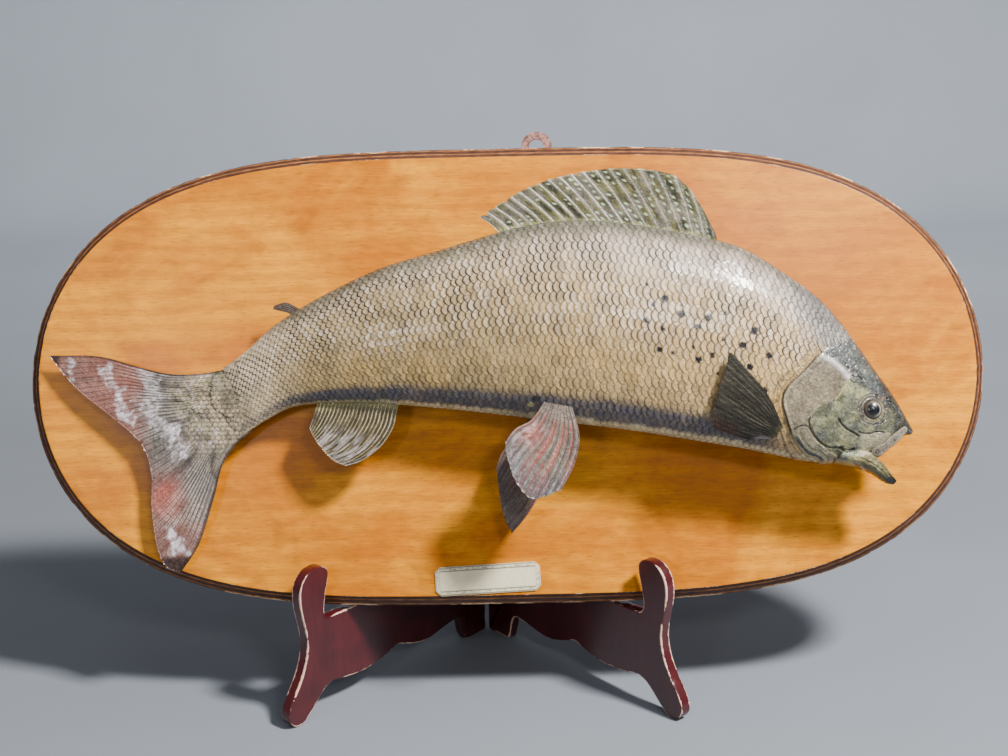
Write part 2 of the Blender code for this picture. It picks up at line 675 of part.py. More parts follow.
def make_fins(body, grown):
    lifts = {
        "dorsal_fin": middle_lift(body),
        "adipose_fin": middle_lift(body),
        "anal_fin": middle_lift(body, ANAL_SPREAD),
        "caudal_fin": tail_lift(body),
        "pelvic_fin_right": lambda u, v, out: PELVIC_RIGHT_HEIGHT + PELVIC_RIGHT_SPREAD * out,
        "pelvic_fin_left": lambda u, v, out: PELVIC_LEFT_HEIGHT + PELVIC_LEFT_SPREAD * out,
        "pectoral_fin_right": skin_lift(body, False, PECTORAL_RIGHT_SPREAD),
        "pectoral_fin_left": skin_lift(body, True, PECTORAL_LEFT_SPREAD),
    }
    looks = {
        "dorsal_fin": FIN_GREEN, "adipose_fin": FIN_GREEN, "anal_fin": FIN_PALE, "caudal_fin": FIN_TAIL,
    }
    for name, (rays, rows, *lines) in FINS.items():
        mesh = fan(rays, rows, *lines, lifts[name])
        part = add(name, mesh, looks.get(name, FIN_DARK), FRAME, smooth=False)
        solidify = part.modifiers.new("thickness", "SOLIDIFY")
        solidify.thickness = ADIPOSE_THICKNESS if name == "adipose_fin" else FIN_THICKNESS
        solidify.offset = 0
        solidify.use_even_offset = True
        boolean(part, grown)


def make_jaw(grown):
    """The lower jaw, and a copy of it grown by the clearance for its neighbours."""
    jaw = Loft(JAW_CUTS)
    part = add("lower_jaw", jaw.mesh("lower_jaw", 0.0, jaw.length, JAW_RINGS), SKIN_JAW, FRAME)
    boolean(part, grown)
    wider = jaw.mesh("jaw_clearance", 0.0, jaw.length, JAW_RINGS, grow=GAP)
    return cutter("jaw_clearance", wider, FRAME)


def rest_radius(height):
    """How far the wing's near face may reach from the hinge before it meets the board's back."""
    outer_plane_height = BOARD_CENTRE_HEIGHT - BOARD_CHAMFER * math.sin(BOARD_LEAN)
    depth = BOARD_THICKNESS - BOARD_CHAMFER + GAP
    y = ((height - outer_plane_height) * math.sin(BOARD_LEAN) + depth) / math.cos(BOARD_LEAN)
    return (HINGE_PLACE[1] - y) / math.sin(WING_TURN)


def wing_outline(seat):
    """The wing's outline from the post's foot round to the hinge side, in metres."""
    outline = [Vector((WING_START * MM, 0.0))]
    for arch in (UNDER_ARCH, OUTER_ARCH, FOOT_INSIDE):
        outline += smooth_line(metres(arch), 2)[:-1]
    outline.append(Vector((FOOT_INSIDE[-1][0] * MM, 0.0)))
    outline += smooth_line(metres(OUTER_EDGE), 2)[:-1]
    outline.append(Vector((OUTER_EDGE[-1][0] * MM, seat)))
    outline.append(Vector((rest_radius(seat) - GAP, seat)))
    lower = Vector((rest_radius(LOWER_REST_TOP * MM), LOWER_REST_TOP * MM))
    upper = Vector((rest_radius(UPPER_REST_FOOT * MM), UPPER_REST_FOOT * MM))
    outline += smooth_line([lower, *metres(COVE), upper], 2)
    contact = Vector((rest_radius(UPPER_REST_TOP * MM), UPPER_REST_TOP * MM))
    outline += smooth_line([contact, *metres(POST_TOP), Vector((WING_START, WING_TOP)) * MM], 2)
    return outline


def board_bottom(u):
    """The height of the board's lower back edge at a place along it."""
    share = 1 - abs((u - BOARD_MIDDLE[0]) / BOARD_HALF_WIDTH) ** BOARD_SQUARENESS_ALONG
    v = BOARD_MIDDLE[1] - BOARD_HALF_HEIGHT * share ** (1 / BOARD_SQUARENESS_UP)
    return BOARD_CENTRE_HEIGHT + v * math.cos(BOARD_LEAN) - BOARD_THICKNESS * math.sin(BOARD_LEAN)


def make_easel():
    for side, sign, heading in (("right", 1, -WING_TURN), ("left", -1, math.pi + WING_TURN)):
        seat_u = HINGE_PLACE[0] + sign * SEAT_REACH * math.cos(WING_TURN)
        outline = wing_outline(board_bottom(seat_u) - GAP)
        name = "easel_wing_" + side
        mesh = prism(outline, *sorted((0.0, -sign * WING_THICKNESS)), name)
        add(name, mesh, LACQUER, EASEL, turn=(math.pi / 2, 0, heading), smooth=False)
    for name, height in BUTT_HEIGHTS.items():
        make_butt(name, height)


def make_butt(name, height):
    """A butt hinge: a barrel behind the two posts and a leaf on each post's end."""
    bm = bmesh.new()
    bmesh.ops.create_cone(bm, cap_ends=True, segments=20, radius1=BARREL_RADIUS, radius2=BARREL_RADIUS,
                          depth=BUTT_LENGTH, matrix=Matrix.Translation((0, BARREL_OFFSET, height)))
    part = add(name, to_mesh(bm, name), BRASS, EASEL)
    for side, sign in (("right", 1), ("left", -1)):
        bm = bmesh.new()
        bmesh.ops.create_cube(bm, size=1.0)
        bmesh.ops.scale(bm, vec=(LEAF_WIDTH, LEAF_THICKNESS, BUTT_LENGTH * 0.96), verts=bm.verts)
        middle = (sign * LEAF_WIDTH / 2, WING_START * MM * -1 + LEAF_THICKNESS / 2 + GAP, 0)
        bmesh.ops.translate(bm, vec=middle, verts=bm.verts)
        leaf = cutter(name + "_leaf_" + side, to_mesh(bm, name), EASEL)
        leaf.location = (0, 0, height)
        leaf.rotation_euler = (0, 0, sign * (math.pi / 2 - WING_TURN))
        boolean(part, leaf, "UNION")


def centre_footprint():
    """Moves the whole piece so that its box stands on the origin."""
    bpy.context.view_layer.update()
    graph = bpy.context.evaluated_depsgraph_get()
    corners = []
    for part in PARTS.objects:
        if part.type == "MESH":
            shape = part.evaluated_get(graph)
            corners += [part.matrix_world @ vertex.co for vertex in shape.data.vertices]
    for axis in (0, 1):
        values = [corner[axis] for corner in corners]
        STAND.location[axis] -= (min(values) + max(values)) / 2
    STAND.location.z -= min(corner.z for corner in corners)


clear_scene()
PARTS = collection(COLLECTION)
CUTTERS = collection(COLLECTION + "_cutters", hidden=True)
WOOD = material("varnished_plywood", (0.72, 0.36, 0.10), 0.35)
PAPER = material("label_stock", (0.80, 0.76, 0.62), 0.6)
IRON = material("rusty_iron", (0.32, 0.20, 0.17), 0.7, 0.6)
STEEL = material("zinc_screw", (0.55, 0.54, 0.50), 0.4, 1.0)
BRASS = material("aged_brass", (0.55, 0.42, 0.18), 0.4, 1.0)
LACQUER = material("maroon_lacquer", (0.16, 0.03, 0.03), 0.35)
SKIN = material("scaled_skin", (0.36, 0.31, 0.23), 0.38)
SKIN_HEAD = material("head_skin", (0.30, 0.30, 0.24), 0.32)
SKIN_GILL = material("gill_cover_skin", (0.38, 0.33, 0.22), 0.32)
SKIN_JAW = material("jaw_skin", (0.50, 0.46, 0.36), 0.35)
FIN_GREEN = material("dorsal_fin_skin", (0.36, 0.35, 0.20), 0.45)
FIN_PALE = material("anal_fin_skin", (0.50, 0.46, 0.33), 0.35)
FIN_DARK = material("paired_fin_skin", (0.20, 0.16, 0.13), 0.45)
FIN_TAIL = material("tail_fin_skin", (0.34, 0.24, 0.20), 0.30)
EYE = material("glass_eye", (0.05, 0.05, 0.05), 0.05)

STAND = empty("stand")
FRAME = empty("board_frame", place=(0, -BOARD_CHAMFER * math.cos(BOARD_LEAN), BOARD_CENTRE_HEIGHT),
              turn=(math.pi / 2 - BOARD_LEAN, 0, 0), parent=STAND)
EASEL = empty("easel_frame", place=(*HINGE_PLACE, 0), parent=STAND)

BODY = Loft(BODY_CUTS)
WIDER = BODY.mesh("body_clearance", 0.0, BODY.length, CLEARANCE_RINGS, grow=GAP)
GROWN = cutter("body_clearance", WIDER, FRAME)
make_board()
make_label()
make_hanger()
make_fish_screws()
HEAD = make_body(BODY)
make_eyes(BODY, HEAD)
JAW_GROWN = make_jaw(GROWN)
make_maxillae(BODY, (GROWN, JAW_GROWN))
make_fins(BODY, GROWN)
make_easel()
centre_footprint()
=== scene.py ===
"""The looks of a mounted Arctic grayling on its oval board and easel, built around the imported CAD.

Everything that lies on the board is modelled in the board's own frame, in metres: u runs right
along the board, v runs up along it, and n stands out from its face.
"""

import math

import bmesh
import bpy
import numpy as np
from mathutils import Matrix, Vector


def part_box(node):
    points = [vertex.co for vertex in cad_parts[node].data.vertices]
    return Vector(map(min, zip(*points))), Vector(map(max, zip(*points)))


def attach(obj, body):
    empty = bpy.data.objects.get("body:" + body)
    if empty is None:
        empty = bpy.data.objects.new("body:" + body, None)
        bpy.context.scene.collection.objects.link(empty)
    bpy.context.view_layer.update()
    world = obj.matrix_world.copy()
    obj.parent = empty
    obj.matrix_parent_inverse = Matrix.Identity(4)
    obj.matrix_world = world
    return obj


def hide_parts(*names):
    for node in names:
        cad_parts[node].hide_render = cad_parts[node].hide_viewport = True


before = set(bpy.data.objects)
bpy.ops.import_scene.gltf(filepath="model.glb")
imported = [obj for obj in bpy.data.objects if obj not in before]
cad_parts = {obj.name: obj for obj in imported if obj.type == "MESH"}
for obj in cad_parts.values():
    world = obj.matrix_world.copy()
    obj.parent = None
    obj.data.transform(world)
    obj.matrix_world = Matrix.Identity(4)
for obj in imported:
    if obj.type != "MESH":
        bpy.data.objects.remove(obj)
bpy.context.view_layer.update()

MM = 0.001
GAP = 0.0003
FULL_TURN = 2 * math.pi
BODY = "root"

# The board and its label, in metres. The sizes, places and lean are those of the CAD source; the
# steps, clearance, softness and ply are the finished mesh's own.
BOARD_MIDDLE = (0.0022, 0.0018)
BOARD_HALF_WIDTH = 0.2747
BOARD_HALF_HEIGHT = 0.1316
BOARD_SQUARENESS_ALONG = 3.75
BOARD_SQUARENESS_UP = 2.0
BOARD_THICKNESS = 0.012
BOARD_CHAMFER = 0.0054
BOARD_LEAN = math.radians(17)
BOARD_STEPS = 900
BOARD_CLEARANCE = 0.00005
BOARD_SOFTNESS = 0.0003
SHARP_ANGLE = math.radians(35)
PLY_STEP = 0.0027
LABEL_SIZE = (0.060, 0.0165)
LABEL_THICKNESS = 0.0007
LABEL_PLACE = (-0.0115, -0.1147)
LABEL_TURN = math.radians(2.5)
LABEL_NICK = 0.35
LABEL_FINE_END = 0.005
LABEL_COARSE_START = 0.008

# The body's cuts, as in the CAD source: the place (u, v) on the back, the place on the belly,
# the height of the middle above the board and the half-width across the fish, in millimetres.
BODY_CUTS = {
    "snout tip": ((225.6, -35.0), (223.6, -37.4), 29.6, 2.2),
    "snout": ((223.4, -30.9), (218.6, -38.2), 29.7, 5.6),
    "nostril": ((215.3, -16.0), (209.5, -43.4), 29.9, 10.2),
    "eye": ((204.6, -0.3), (196.5, -48.4), 30.0, 14.6),
    "cheek": ((193.8, 15.8), (183.0, -51.6), 30.0, 18.2),
    "gill cover": ((177.2, 37.2), (166.0, -50.9), 29.6, 21.4),
    "shoulder": ((157.2, 53.5), (147.0, -46.6), 28.8, 23.6),
    "fore": ((132.7, 69.0), (125.5, -41.9), 27.9, 25.2),
    "dorsal fin front": ((105.0, 76.9), (101.2, -37.5), 27.2, 26.2),
    "dorsal fin": ((77.2, 82.6), (77.0, -33.0), 26.8, 26.6),
    "middle": ((46.8, 86.2), (48.2, -28.7), 26.6, 26.4),
    "dorsal fin rear": ((16.1, 84.3), (19.4, -24.8), 26.0, 25.3),
    "rear": ((-11.8, 77.7), (-8.1, -21.0), 25.2, 23.4),
    "vent": ((-39.8, 69.9), (-36.0, -17.5), 24.0, 20.7),
    "anal fin": ((-68.0, 62.1), (-62.0, -14.8), 22.4, 17.6),
    "anal fin rear": ((-92.9, 51.5), (-85.7, -13.6), 20.4, 14.4),
    "adipose fin": ((-112.9, 41.4), (-104.0, -13.5), 18.4, 11.6),
    "tail stem": ((-130.2, 30.6), (-119.8, -15.4), 16.6, 9.4),
    "tail wrist": ((-144.6, 18.2), (-134.6, -22.4), 15.0, 7.2),
    "tail root": ((-158.8, 8.0), (-148.4, -30.8), 13.4, 4.6),
}
# The hollow of the mouth, cut out of the head and the lower jaw.
MOUTH_CUTS = {
    "throat": ((199.8, -45.4), (198.6, -47.2), 29.9, 1.2),
    "tongue": ((203.4, -44.2), (201.0, -49.2), 29.9, 4.0),
    "gape": ((207.6, -41.6), (204.8, -52.4), 29.9, 6.2),
    "lips": ((213.6, -38.0), (209.4, -57.4), 29.8, 5.2),
    "opening": ((219.6, -36.8), (213.2, -61.6), 29.7, 2.9),
    "outside": ((228.0, -37.4), (220.0, -64.4), 29.7, 2.2),
}
# The lower jaw's finished shape, a little slimmer than its CAD solid.
JAW_SHAPE = {
    "jaw hinge": ((186.0, -42.6), (179.5, -51.8), 29.9, 13.6),
    "jaw": ((197.8, -44.4), (193.0, -54.8), 29.9, 11.4),
    "jaw front": ((207.0, -51.0), (202.6, -59.0), 29.8, 7.6),
    "chin": ((212.4, -58.2), (209.0, -63.4), 29.7, 4.8),
    "chin tip": ((215.4, -62.2), (213.0, -64.6), 29.6, 2.0),
}
# The line of the gape, from the jaw's hinge forwards: u, and v at each.
GAPE_LINE = ((178.0, 186.0, 196.0, 204.0, 212.0, 220.0), (-54.0, -50.5, -47.5, -47.0, -49.0, -52.0))
JAW_HINGE = (186.0, -47.0)
JAW_AHEAD = (0.82, 0.57)
BODY_FULLNESS = 0.92
LOCATE_HALVINGS = 26
# The skin's grid: close rings over the head, wide ones under the scales.
SKIN_FINE_END = 0.0885
SKIN_FINE_RINGS = 300
SKIN_COARSE_START = 0.0905
SKIN_COARSE_RINGS = 110
SKIN_COLUMNS = 440
JAW_GRID = (120, 160)
MOUTH_GRID = (60, 72)
EYE_GRID = (26, 56)
TAPER_LENGTH = 0.013
TAPER_END = 0.26

# Lines and marks on the head, and cracks at the root of the tail: places (u, v) in millimetres.
NECK_LINE = (
    (205.0, 33.0), (197.0, 23.5), (188.6, 16.0), (179.6, 11.6), (172.0, 9.2), (162.0, -0.4),
    (152.4, -9.4), (149.6, -18.0), (152.6, -28.6), (156.6, -38.6),
    (163.4, -46.8), (172.0, -52.0), (178.0, -72.0),
)
COVER_TOP = 4
GILL_FRONT_LINE = (
    (188.8, -3.4), (184.8, -8.4), (178.0, -17.0), (168.6, -22.0), (165.0, -29.0),
    (168.4, -38.0), (174.4, -44.0), (181.0, -49.0), (181.0, -58.0),
)
BEYOND_SNOUT = ((260.0, -75.0), (260.0, 38.0))
GIRDLE_WIDTH = (4.2, 5.6)
GILL_BAND_STEP = 3.5
# How far round the gill cover's edge the bands below it start, and over how much of it they grow.
GILL_BANDS_START = 0.70
GILL_BANDS_RISE = 0.06
PREOPERCLE = (
    (165.4, -25.4), (164.3, -29.5), (167.7, -37.1), (173.5, -42.1), (179.6, -43.4), (185.4, -42.9),
)
SUBOPERCLE = ((155.4, -33.4), (159.6, -31.0), (163.6, -31.4), (166.6, -36.0))
CHEEK_CRACK = ((179.4, -26.0), (182.0, -30.4), (185.6, -33.7), (189.4, -35.6), (193.1, -38.2))
LIP_CRACK = ((191.0, -34.3), (194.4, -35.8), (198.6, -36.1), (203.4, -35.2), (208.3, -35.8))
TEAR_CRACK = ((198.7, -31.5), (203.0, -31.0), (208.3, -28.1))
JAW_CRACK = ((181.0, -43.2), (186.2, -45.4), (191.2, -44.0))
NAPE_CRACK = ((187.6, -3.9), (190.8, -5.1), (192.2, -4.6), (195.4, -7.4))
BROW_CRACK = ((186.6, -5.6), (189.0, -8.0), (191.2, -8.2))
BONE_RIDGE = ((171.6, 6.2), (179.1, 2.2), (186.4, -5.5))
COVER_LINE = ((185.8, -7.2), (181.9, -13.0), (178.5, -17.3))
TAIL_CRACKS = (
    ((-164.5, 4.4), (-165.2, -4.6), (-164.2, -13.7), (-158.0, -18.4), (-152.4, -21.9), (-147.9, -25.3)),
    ((-146.7, -18.6), (-143.0, -20.8), (-139.4, -22.1)), ((-157.0, 10.6), (-151.4, 11.2), (-147.4, 12.4)),
    ((-151.4, 11.2), (-149.0, 6.0), (-151.6, 0.0)), ((-158.0, -18.4), (-155.0, -24.0), (-151.0, -28.0)),
)
TAIL_CRACK_WIDTH = 0.42
CRACKS = (
    (PREOPERCLE, 0.62, 0.55), (SUBOPERCLE, 0.30, 0.45), (CHEEK_CRACK, 0.62, 0.50),
    (LIP_CRACK, 0.45, 0.40), (TEAR_CRACK, 0.34, 0.38), (JAW_CRACK, 0.62, 0.60),
    (NAPE_CRACK, 0.42, 0.42), (BROW_CRACK, 0.30, 0.36),
)
NOSTRILS = ((208.9, -17.0), (211.0, -19.0))
NOSTRIL_RADIUS = 0.75
NOSTRIL_DEPTH = 0.8
SNOUT_DOTS = ((206.2, -16.8, 0.7), (208.3, -22.6, 0.5))
EYE_PLACE = (199.6, -22.9)
EYE_RADIUS = 0.0056
EYE_DEPTH = 0.0040
EYE_SINK = 0.0019
EYE_CLEARANCE = 0.00008
EYE_REACH = math.pi * 0.62
EYE_OPENING = 4.85
PUPIL_RADIUS = 3.35
MAXILLA_LINE = ((219.4, -32.9), (214.6, -37.3), (208.8, -42.3), (203.4, -46.2))
MAXILLA_HALF_WIDTHS = (1.5, 2.3, 2.6, 2.9)
MAXILLA_PROUD = 0.00150
MAXILLA_DEPTH = 0.0056
# Dark spots on the flank, in loose rows that slant down with the body behind the gill cover,
# in millimetres: the rows' middle line, the gap between rows, the least and greatest radius.
SPOT_LINE = ((76.0, 30.0), (146.0, 3.0))
SPOT_ROWS = 4
SPOTS_IN_ROW = 6
SPOT_ROW_GAP = 10.0
SPOT_WANDER = 3.4
SPOT_RADII = (0.8, 2.0)
SPOT_SEED = 5

# The coat: depths and pitches in millimetres, distances along the body in metres. SCALE_PITCH lists
# distances, then the pitch at each. Rises, dome and skirt are in millimetres on the largest scales.
COAT_DEPTH = 0.52
HEAD_DEPTH = 0.34
COVER_RISE = 0.95
SCALE_ROWS = 46
SCALE_PITCH = ((0.050, 0.085, 0.30, 0.42), (2.9, 3.9, 3.6, 2.9))
SCALE_START = 0.014
SCALE_ALONG = (0.0, 0.30, 0.56, 0.67, 0.78, 0.87, 0.93, 0.967, 1.0)
SCALE_ACROSS = 11
SCALE_HALF_WIDTH = 0.80
SCALE_ROOT = -1.25
SCALE_RISE = (-0.22, 0.26)
SCALE_DOME = 0.05
SCALE_SKIRT = 0.30
SCALE_BEND = 0.015
# Along each scale, at the steps of SCALE_ALONG and on its skirt: painted shade over the covered front, a
# painted highlight just inside the free edge, and the dark rim, partly the edge's own colour and partly
# painted shade under it.
SCALE_SHADE = (0.3, 0.5, 0.5, 0.35, 0.15, 0.0, 0.0, 0.0, 0.0, 0.0)
SCALE_HIGHLIGHT = (0.0, 0.0, 0.05, 0.20, 0.45, 0.30, 0.0, 0.0, 0.0, 0.0)
SCALE_RIM = (0.0, 0.0, 0.0, 0.0, 0.0, 0.25, 0.95, 1.0, 1.0, 1.0)
COAT_PIECES = 6
COAT_SEED = 7
BAKE_PATCH = 0.003

# Each fin in millimetres: its base, its first ray, its margin and its last ray. They were redrawn
# from the CAD source, which they mostly follow.
FINS = {
    "dorsal_fin": (
        ((119.5, 70.0), (105.0, 74.5), (77.2, 80.0), (46.8, 83.6), (20.0, 82.4), (0.5, 78.6)),
        ((119.5, 70.0), (119.9, 74.5), (118.4, 79.0)),
        ((118.4, 79.0), (116.0, 84.0), (110.4, 95.0), (102.2, 106.0), (91.4, 112.4), (64.0, 115.2),
         (34.0, 111.2), (14.0, 104.4), (-2.6, 95.2), (-11.8, 89.2)),
        ((0.5, 78.6), (-5.0, 84.2), (-11.8, 89.2)),
    ),
    "adipose_fin": (
        ((-112.0, 39.0), (-117.0, 36.0)),
        ((-112.0, 39.0), (-116.6, 41.8), (-122.0, 44.2), (-129.0, 42.4)),
        ((-129.0, 42.4), (-129.4, 40.6)),
        ((-117.0, 36.0), (-121.4, 38.4), (-129.4, 40.6)),
    ),
    "anal_fin": (
        ((-58.6, -12.0), (-80.0, -11.0), (-104.2, -10.6)),
        ((-58.6, -12.0), (-60.2, -19.0), (-62.6, -28.0), (-69.6, -38.0), (-80.0, -45.4), (-89.4, -48.4)),
        ((-89.4, -48.4), (-98.0, -44.0), (-106.4, -33.0), (-109.2, -27.0)),
        ((-104.2, -10.6), (-106.4, -19.0), (-109.2, -27.0)),
    ),
    "caudal_fin": (
        ((-150.6, 10.2), (-151.0, -2.0), (-147.6, -17.0), (-141.8, -27.0)),
        ((-150.6, 10.2), (-157.0, 7.6), (-172.0, 5.2), (-190.0, 5.6), (-208.0, 10.2), (-230.0, 16.4),
         (-258.6, 17.4)),
        ((-258.6, 17.4), (-243.6, -1.0), (-222.4, -18.4), (-206.6, -33.2), (-200.6, -50.0),
         (-200.8, -70.0), (-198.2, -92.0), (-193.0, -104.0), (-185.0, -107.0)),
        ((-141.8, -27.0), (-146.0, -30.2), (-152.0, -35.0), (-160.0, -47.0), (-165.2, -65.0), (-174.0, -90.6),
         (-185.0, -107.0)),
    ),
    "pelvic_fin_right": (
        ((22.4, -14.0), (29.6, -16.0), (36.6, -17.6)),
        ((22.4, -14.0), (14.6, -24.6), (5.6, -29.4), (-0.2, -36.6)),
        ((-0.2, -36.6), (0.4, -44.0), (4.6, -57.5), (12.2, -67.6), (20.8, -66.4), (29.4, -63.2)),
        ((36.6, -17.6), (40.4, -33.6), (37.4, -48.6), (29.4, -63.2)),
    ),
    "pelvic_fin_left": (
        ((22.0, -16.0), (29.0, -18.0), (36.0, -20.0)),
        ((22.0, -16.0), (8.0, -30.0), (-1.6, -42.0), (-5.4, -51.0)),
        ((-5.4, -51.0), (-4.4, -64.0), (-2.6, -77.0), (2.0, -88.4)),
        ((36.0, -20.0), (33.0, -35.0), (27.0, -51.0), (17.4, -69.0), (9.8, -80.0), (2.0, -88.4)),
    ),
    "pectoral_fin_right": (
        ((150.2, -31.0), (147.6, -35.0), (144.4, -38.0)),
        ((150.2, -31.0), (142.0, -14.4), (131.4, -1.4), (120.6, 10.4)),
        ((120.6, 10.4), (117.2, -2.4), (113.6, -14.0), (111.8, -25.4), (113.4, -31.2)),
        ((144.4, -38.0), (139.6, -37.6), (132.4, -37.8), (122.6, -34.8), (113.4, -31.2)),
    ),
    "pectoral_fin_left": (
        ((150.2, -31.0), (147.6, -35.0), (144.4, -38.0)),
        ((150.2, -31.0), (136.0, -26.0), (118.0, -21.0), (99.0, -18.6)),
        ((99.0, -18.6), (96.8, -24.0), (101.0, -31.0), (110.0, -37.0)),
        ((144.4, -38.0), (136.0, -40.8), (124.0, -40.6), (110.0, -37.0)),
    ),
}
# How high the fins stand above the board and how far they spread, in metres.
PELVIC_RIGHT_HEIGHT = 0.0405
PELVIC_RIGHT_SPREAD = 0.0105
PELVIC_LEFT_HEIGHT = 0.0125
PELVIC_LEFT_SPREAD = 0.0060
PECTORAL_CLEARANCE = 0.0007
PECTORAL_RIGHT_SPREAD = 0.0036
PECTORAL_LEFT_SPREAD = 0.0030
ANAL_SPREAD = 0.0040
TAIL_FIN_ROOT = (-154.0, -12.0)
TAIL_FIN_DROP = 0.052
TAIL_FIN_DROP_REACH = 0.12
LEAST_HEIGHT = 0.0010
MEMBRANE_HALF = 0.22
RAY_HALF = 0.19
DORSAL_SLANT = 0.62
DORSAL_SPOT_STEP = 0.105
# Strokes of painted sheen on the tail fin: both ends (u, v), half-width in millimetres, strength.
TAIL_PAINTED_SHEEN = (
    ((-246.2, 15.0), (-246.3, 3.0), 2.4, 0.75), ((-226.0, 10.0), (-218.8, -6.0), 3.6, 0.80),
    ((-218.8, -6.0), (-211.6, -21.0), 4.6, 0.85), ((-201.0, 5.0), (-200.0, -16.0), 7.5, 0.55),
    ((-190.0, -25.0), (-183.6, -40.0), 5.5, 0.85), ((-171.0, -28.0), (-163.0, -36.0), 4.5, 0.60),
    ((-188.6, -86.0), (-184.6, -94.0), 6.0, 0.95),
)
# Lumps under the skin of the tail fin's base: (u, v) and radius in millimetres.
TAIL_LUMPS = ((-178.0, -13.0, 4.5), (-183.0, -8.0, 3.5), (-177.0, -22.0, 4.0), (-171.0, -27.0, 3.0))
TAIL_WRIST_REACH = 15.0
TAIL_PINK_PLACE = (-192.5, -66.0)

# The easel's wings, the sweep behind the object, and the camera.
CORNER_PASSES = 8
WING_ROUNDING = 0.0007
WING_CLEARANCE = 0.00004
WING_SHARP_ANGLE = math.radians(38)
WING_FLAT_ANGLE = math.radians(0.6)
FLOOR_END = 1.6
SWEEP_RADIUS = 0.45
WALL_TOP = 2.6
WALL_HALF_WIDTH = 3.0
CAMERA_LENS = 52.275
CAMERA_PITCH = math.radians(15)
CAMERA_ROLL = math.radians(1.15)
CAMERA_DISTANCE = 0.845
CAMERA_SENSOR = 36.0
CAMERA_CLIP = (0.01, 20.0)

# The lamps: place, aim, size, power and colour.
LAMPS = {
    "key": ((0.88, -0.66, 1.50), (0.02, 0.0, 0.18), (0.24, 0.24), 104.0, (1.0, 0.965, 0.92)),
    "sheen": ((0.48, -1.40, 0.98), (0.1, 0.0, 0.2), (0.30, 0.18), 6.0, (1.0, 0.98, 0.96)),
    "sparkle": ((-0.57, -1.48, 0.70), (-0.15, 0.0, 0.2), (0.12, 0.12), 2.5, (1.0, 0.97, 0.98)),
    "fill": ((-1.1, -1.3, 0.8), (0.0, 0.0, 0.18), (1.4, 1.2), 2.5, (1.0, 0.98, 0.96)),
    "overhead": ((0.1, -0.1, 1.7), (0.0, 0.1, 0.1), (1.8, 1.2), 5.0, (1.0, 0.99, 0.98)),
}
SKY_COLOUR = (0.90, 0.94, 1.0, 1.0)
SKY_STRENGTH = 0.17

# The repeatable scatter behind every noise.
HASH_STEPS = (374761393, 668265263, 1274126177)
HASH_SEED = 144665
HASH_MIX = 1103515245
HASH_MASK = 0xFFFF

SOCKETS = {"coat_weight": "Coat Weight", "coat_roughness": "Coat Roughness", "metallic": "Metallic",
           "specular": "Specular IOR Level"}


def srgb(red, green, blue):
    """A colour given as three numbers up to 255, in linear light."""
    shares = np.array((red, green, blue)) / 255
    return np.where(shares <= 0.04045, shares / 12.92, ((shares + 0.055) / 1.055) ** 2.4)


# Colours of the fish, its fins, the wood and the card.
FLANK_FRONT = srgb(174, 145, 98)
FLANK_REAR = srgb(144, 122, 80)
FLANK_GOLD = srgb(176, 138, 64)
BACK = srgb(71, 72, 59)
PAINTED_SHOULDER_SHEEN = srgb(156, 144, 138)
BAND = srgb(41, 49, 70)
BELLY = srgb(190, 184, 148)
SPOT = srgb(8, 8, 18)
OUTLINE = srgb(26, 20, 14)
GLINT = srgb(230, 220, 214)
TAIL_STEM = srgb(184, 166, 136)
HEAD_GREEN = srgb(94, 96, 76)
NAPE = srgb(65, 69, 71)
ORBIT = srgb(74, 66, 62)
CHEEK = srgb(129, 128, 93)
COVER = srgb(130, 119, 98)
COVER_EDGE = srgb(152, 142, 118)
SNOUT = srgb(30, 28, 26)
LIP_CREAM = srgb(160, 152, 124)
JAW = srgb(88, 84, 54)
JAW_TIP = srgb(14, 16, 18)
THROAT = srgb(150, 140, 96)
MEMBRANE = srgb(156, 148, 112)
GILL_BAND = srgb(26, 30, 40)
CRACK_AND_SHADE = srgb(10, 9, 8)
BONE_AND_GLINT = srgb(204, 200, 198)
EYE_DARK = srgb(10, 11, 17)
IRIS = srgb(70, 62, 54)
PALE_RING = srgb(170, 162, 150)
YELLOW = srgb(172, 164, 112)
ORANGE = srgb(168, 92, 50)
MOUTH = srgb(96, 62, 54)
STRAP = srgb(112, 104, 92)
STRAP_EDGE = srgb(146, 138, 120)
DORSAL_DARK = srgb(42, 42, 27)
DORSAL_PALE = srgb(93, 89, 55)
DORSAL_BASE = srgb(150, 148, 98)
DORSAL_RAY_AND_SHEEN = srgb(170, 164, 134)
DORSAL_SPOT = srgb(164, 180, 148)
DORSAL_REAR = srgb(119, 112, 101)
TAIL_RED = srgb(113, 72, 63)
TAIL_GREY = srgb(89, 82, 77)
TAIL_PINK = srgb(146, 80, 68)
TAIL_DARK = srgb(32, 18, 16)
PAINTED_SHEEN_WHITE = srgb(206, 198, 204)
RAY_WHITE_AND_GLINT = srgb(208, 202, 194)
ANAL_MEMBRANE = srgb(63, 55, 39)
ANAL_RAY = srgb(190, 178, 134)
ANAL_BASE = srgb(150, 144, 86)
PELVIC_MAUVE = srgb(80, 69, 63)
PELVIC_RED = srgb(128, 58, 50)
PELVIC_RAY = srgb(122, 116, 90)
PELVIC_BLUE = srgb(84, 84, 90)
PELVIC_FAR_PAINTED_LIGHT = srgb(130, 114, 98)
PECTORAL_DARK = srgb(40, 37, 30)
PECTORAL_RAY = srgb(104, 96, 78)
PECTORAL_RED = srgb(62, 34, 28)
ADIPOSE = srgb(72, 62, 54)
BACKDROP = srgb(138, 145, 155)
HONEY = srgb(180, 103, 2)
GOLDEN = srgb(216, 142, 5)
GROWTH_LINE = srgb(158, 82, 2)
WOOD_STAIN = srgb(132, 66, 2)
WOOD_PORE = srgb(120, 58, 4)
PLY_DARK = srgb(66, 40, 28)
PLY_PALE = srgb(164, 104, 56)
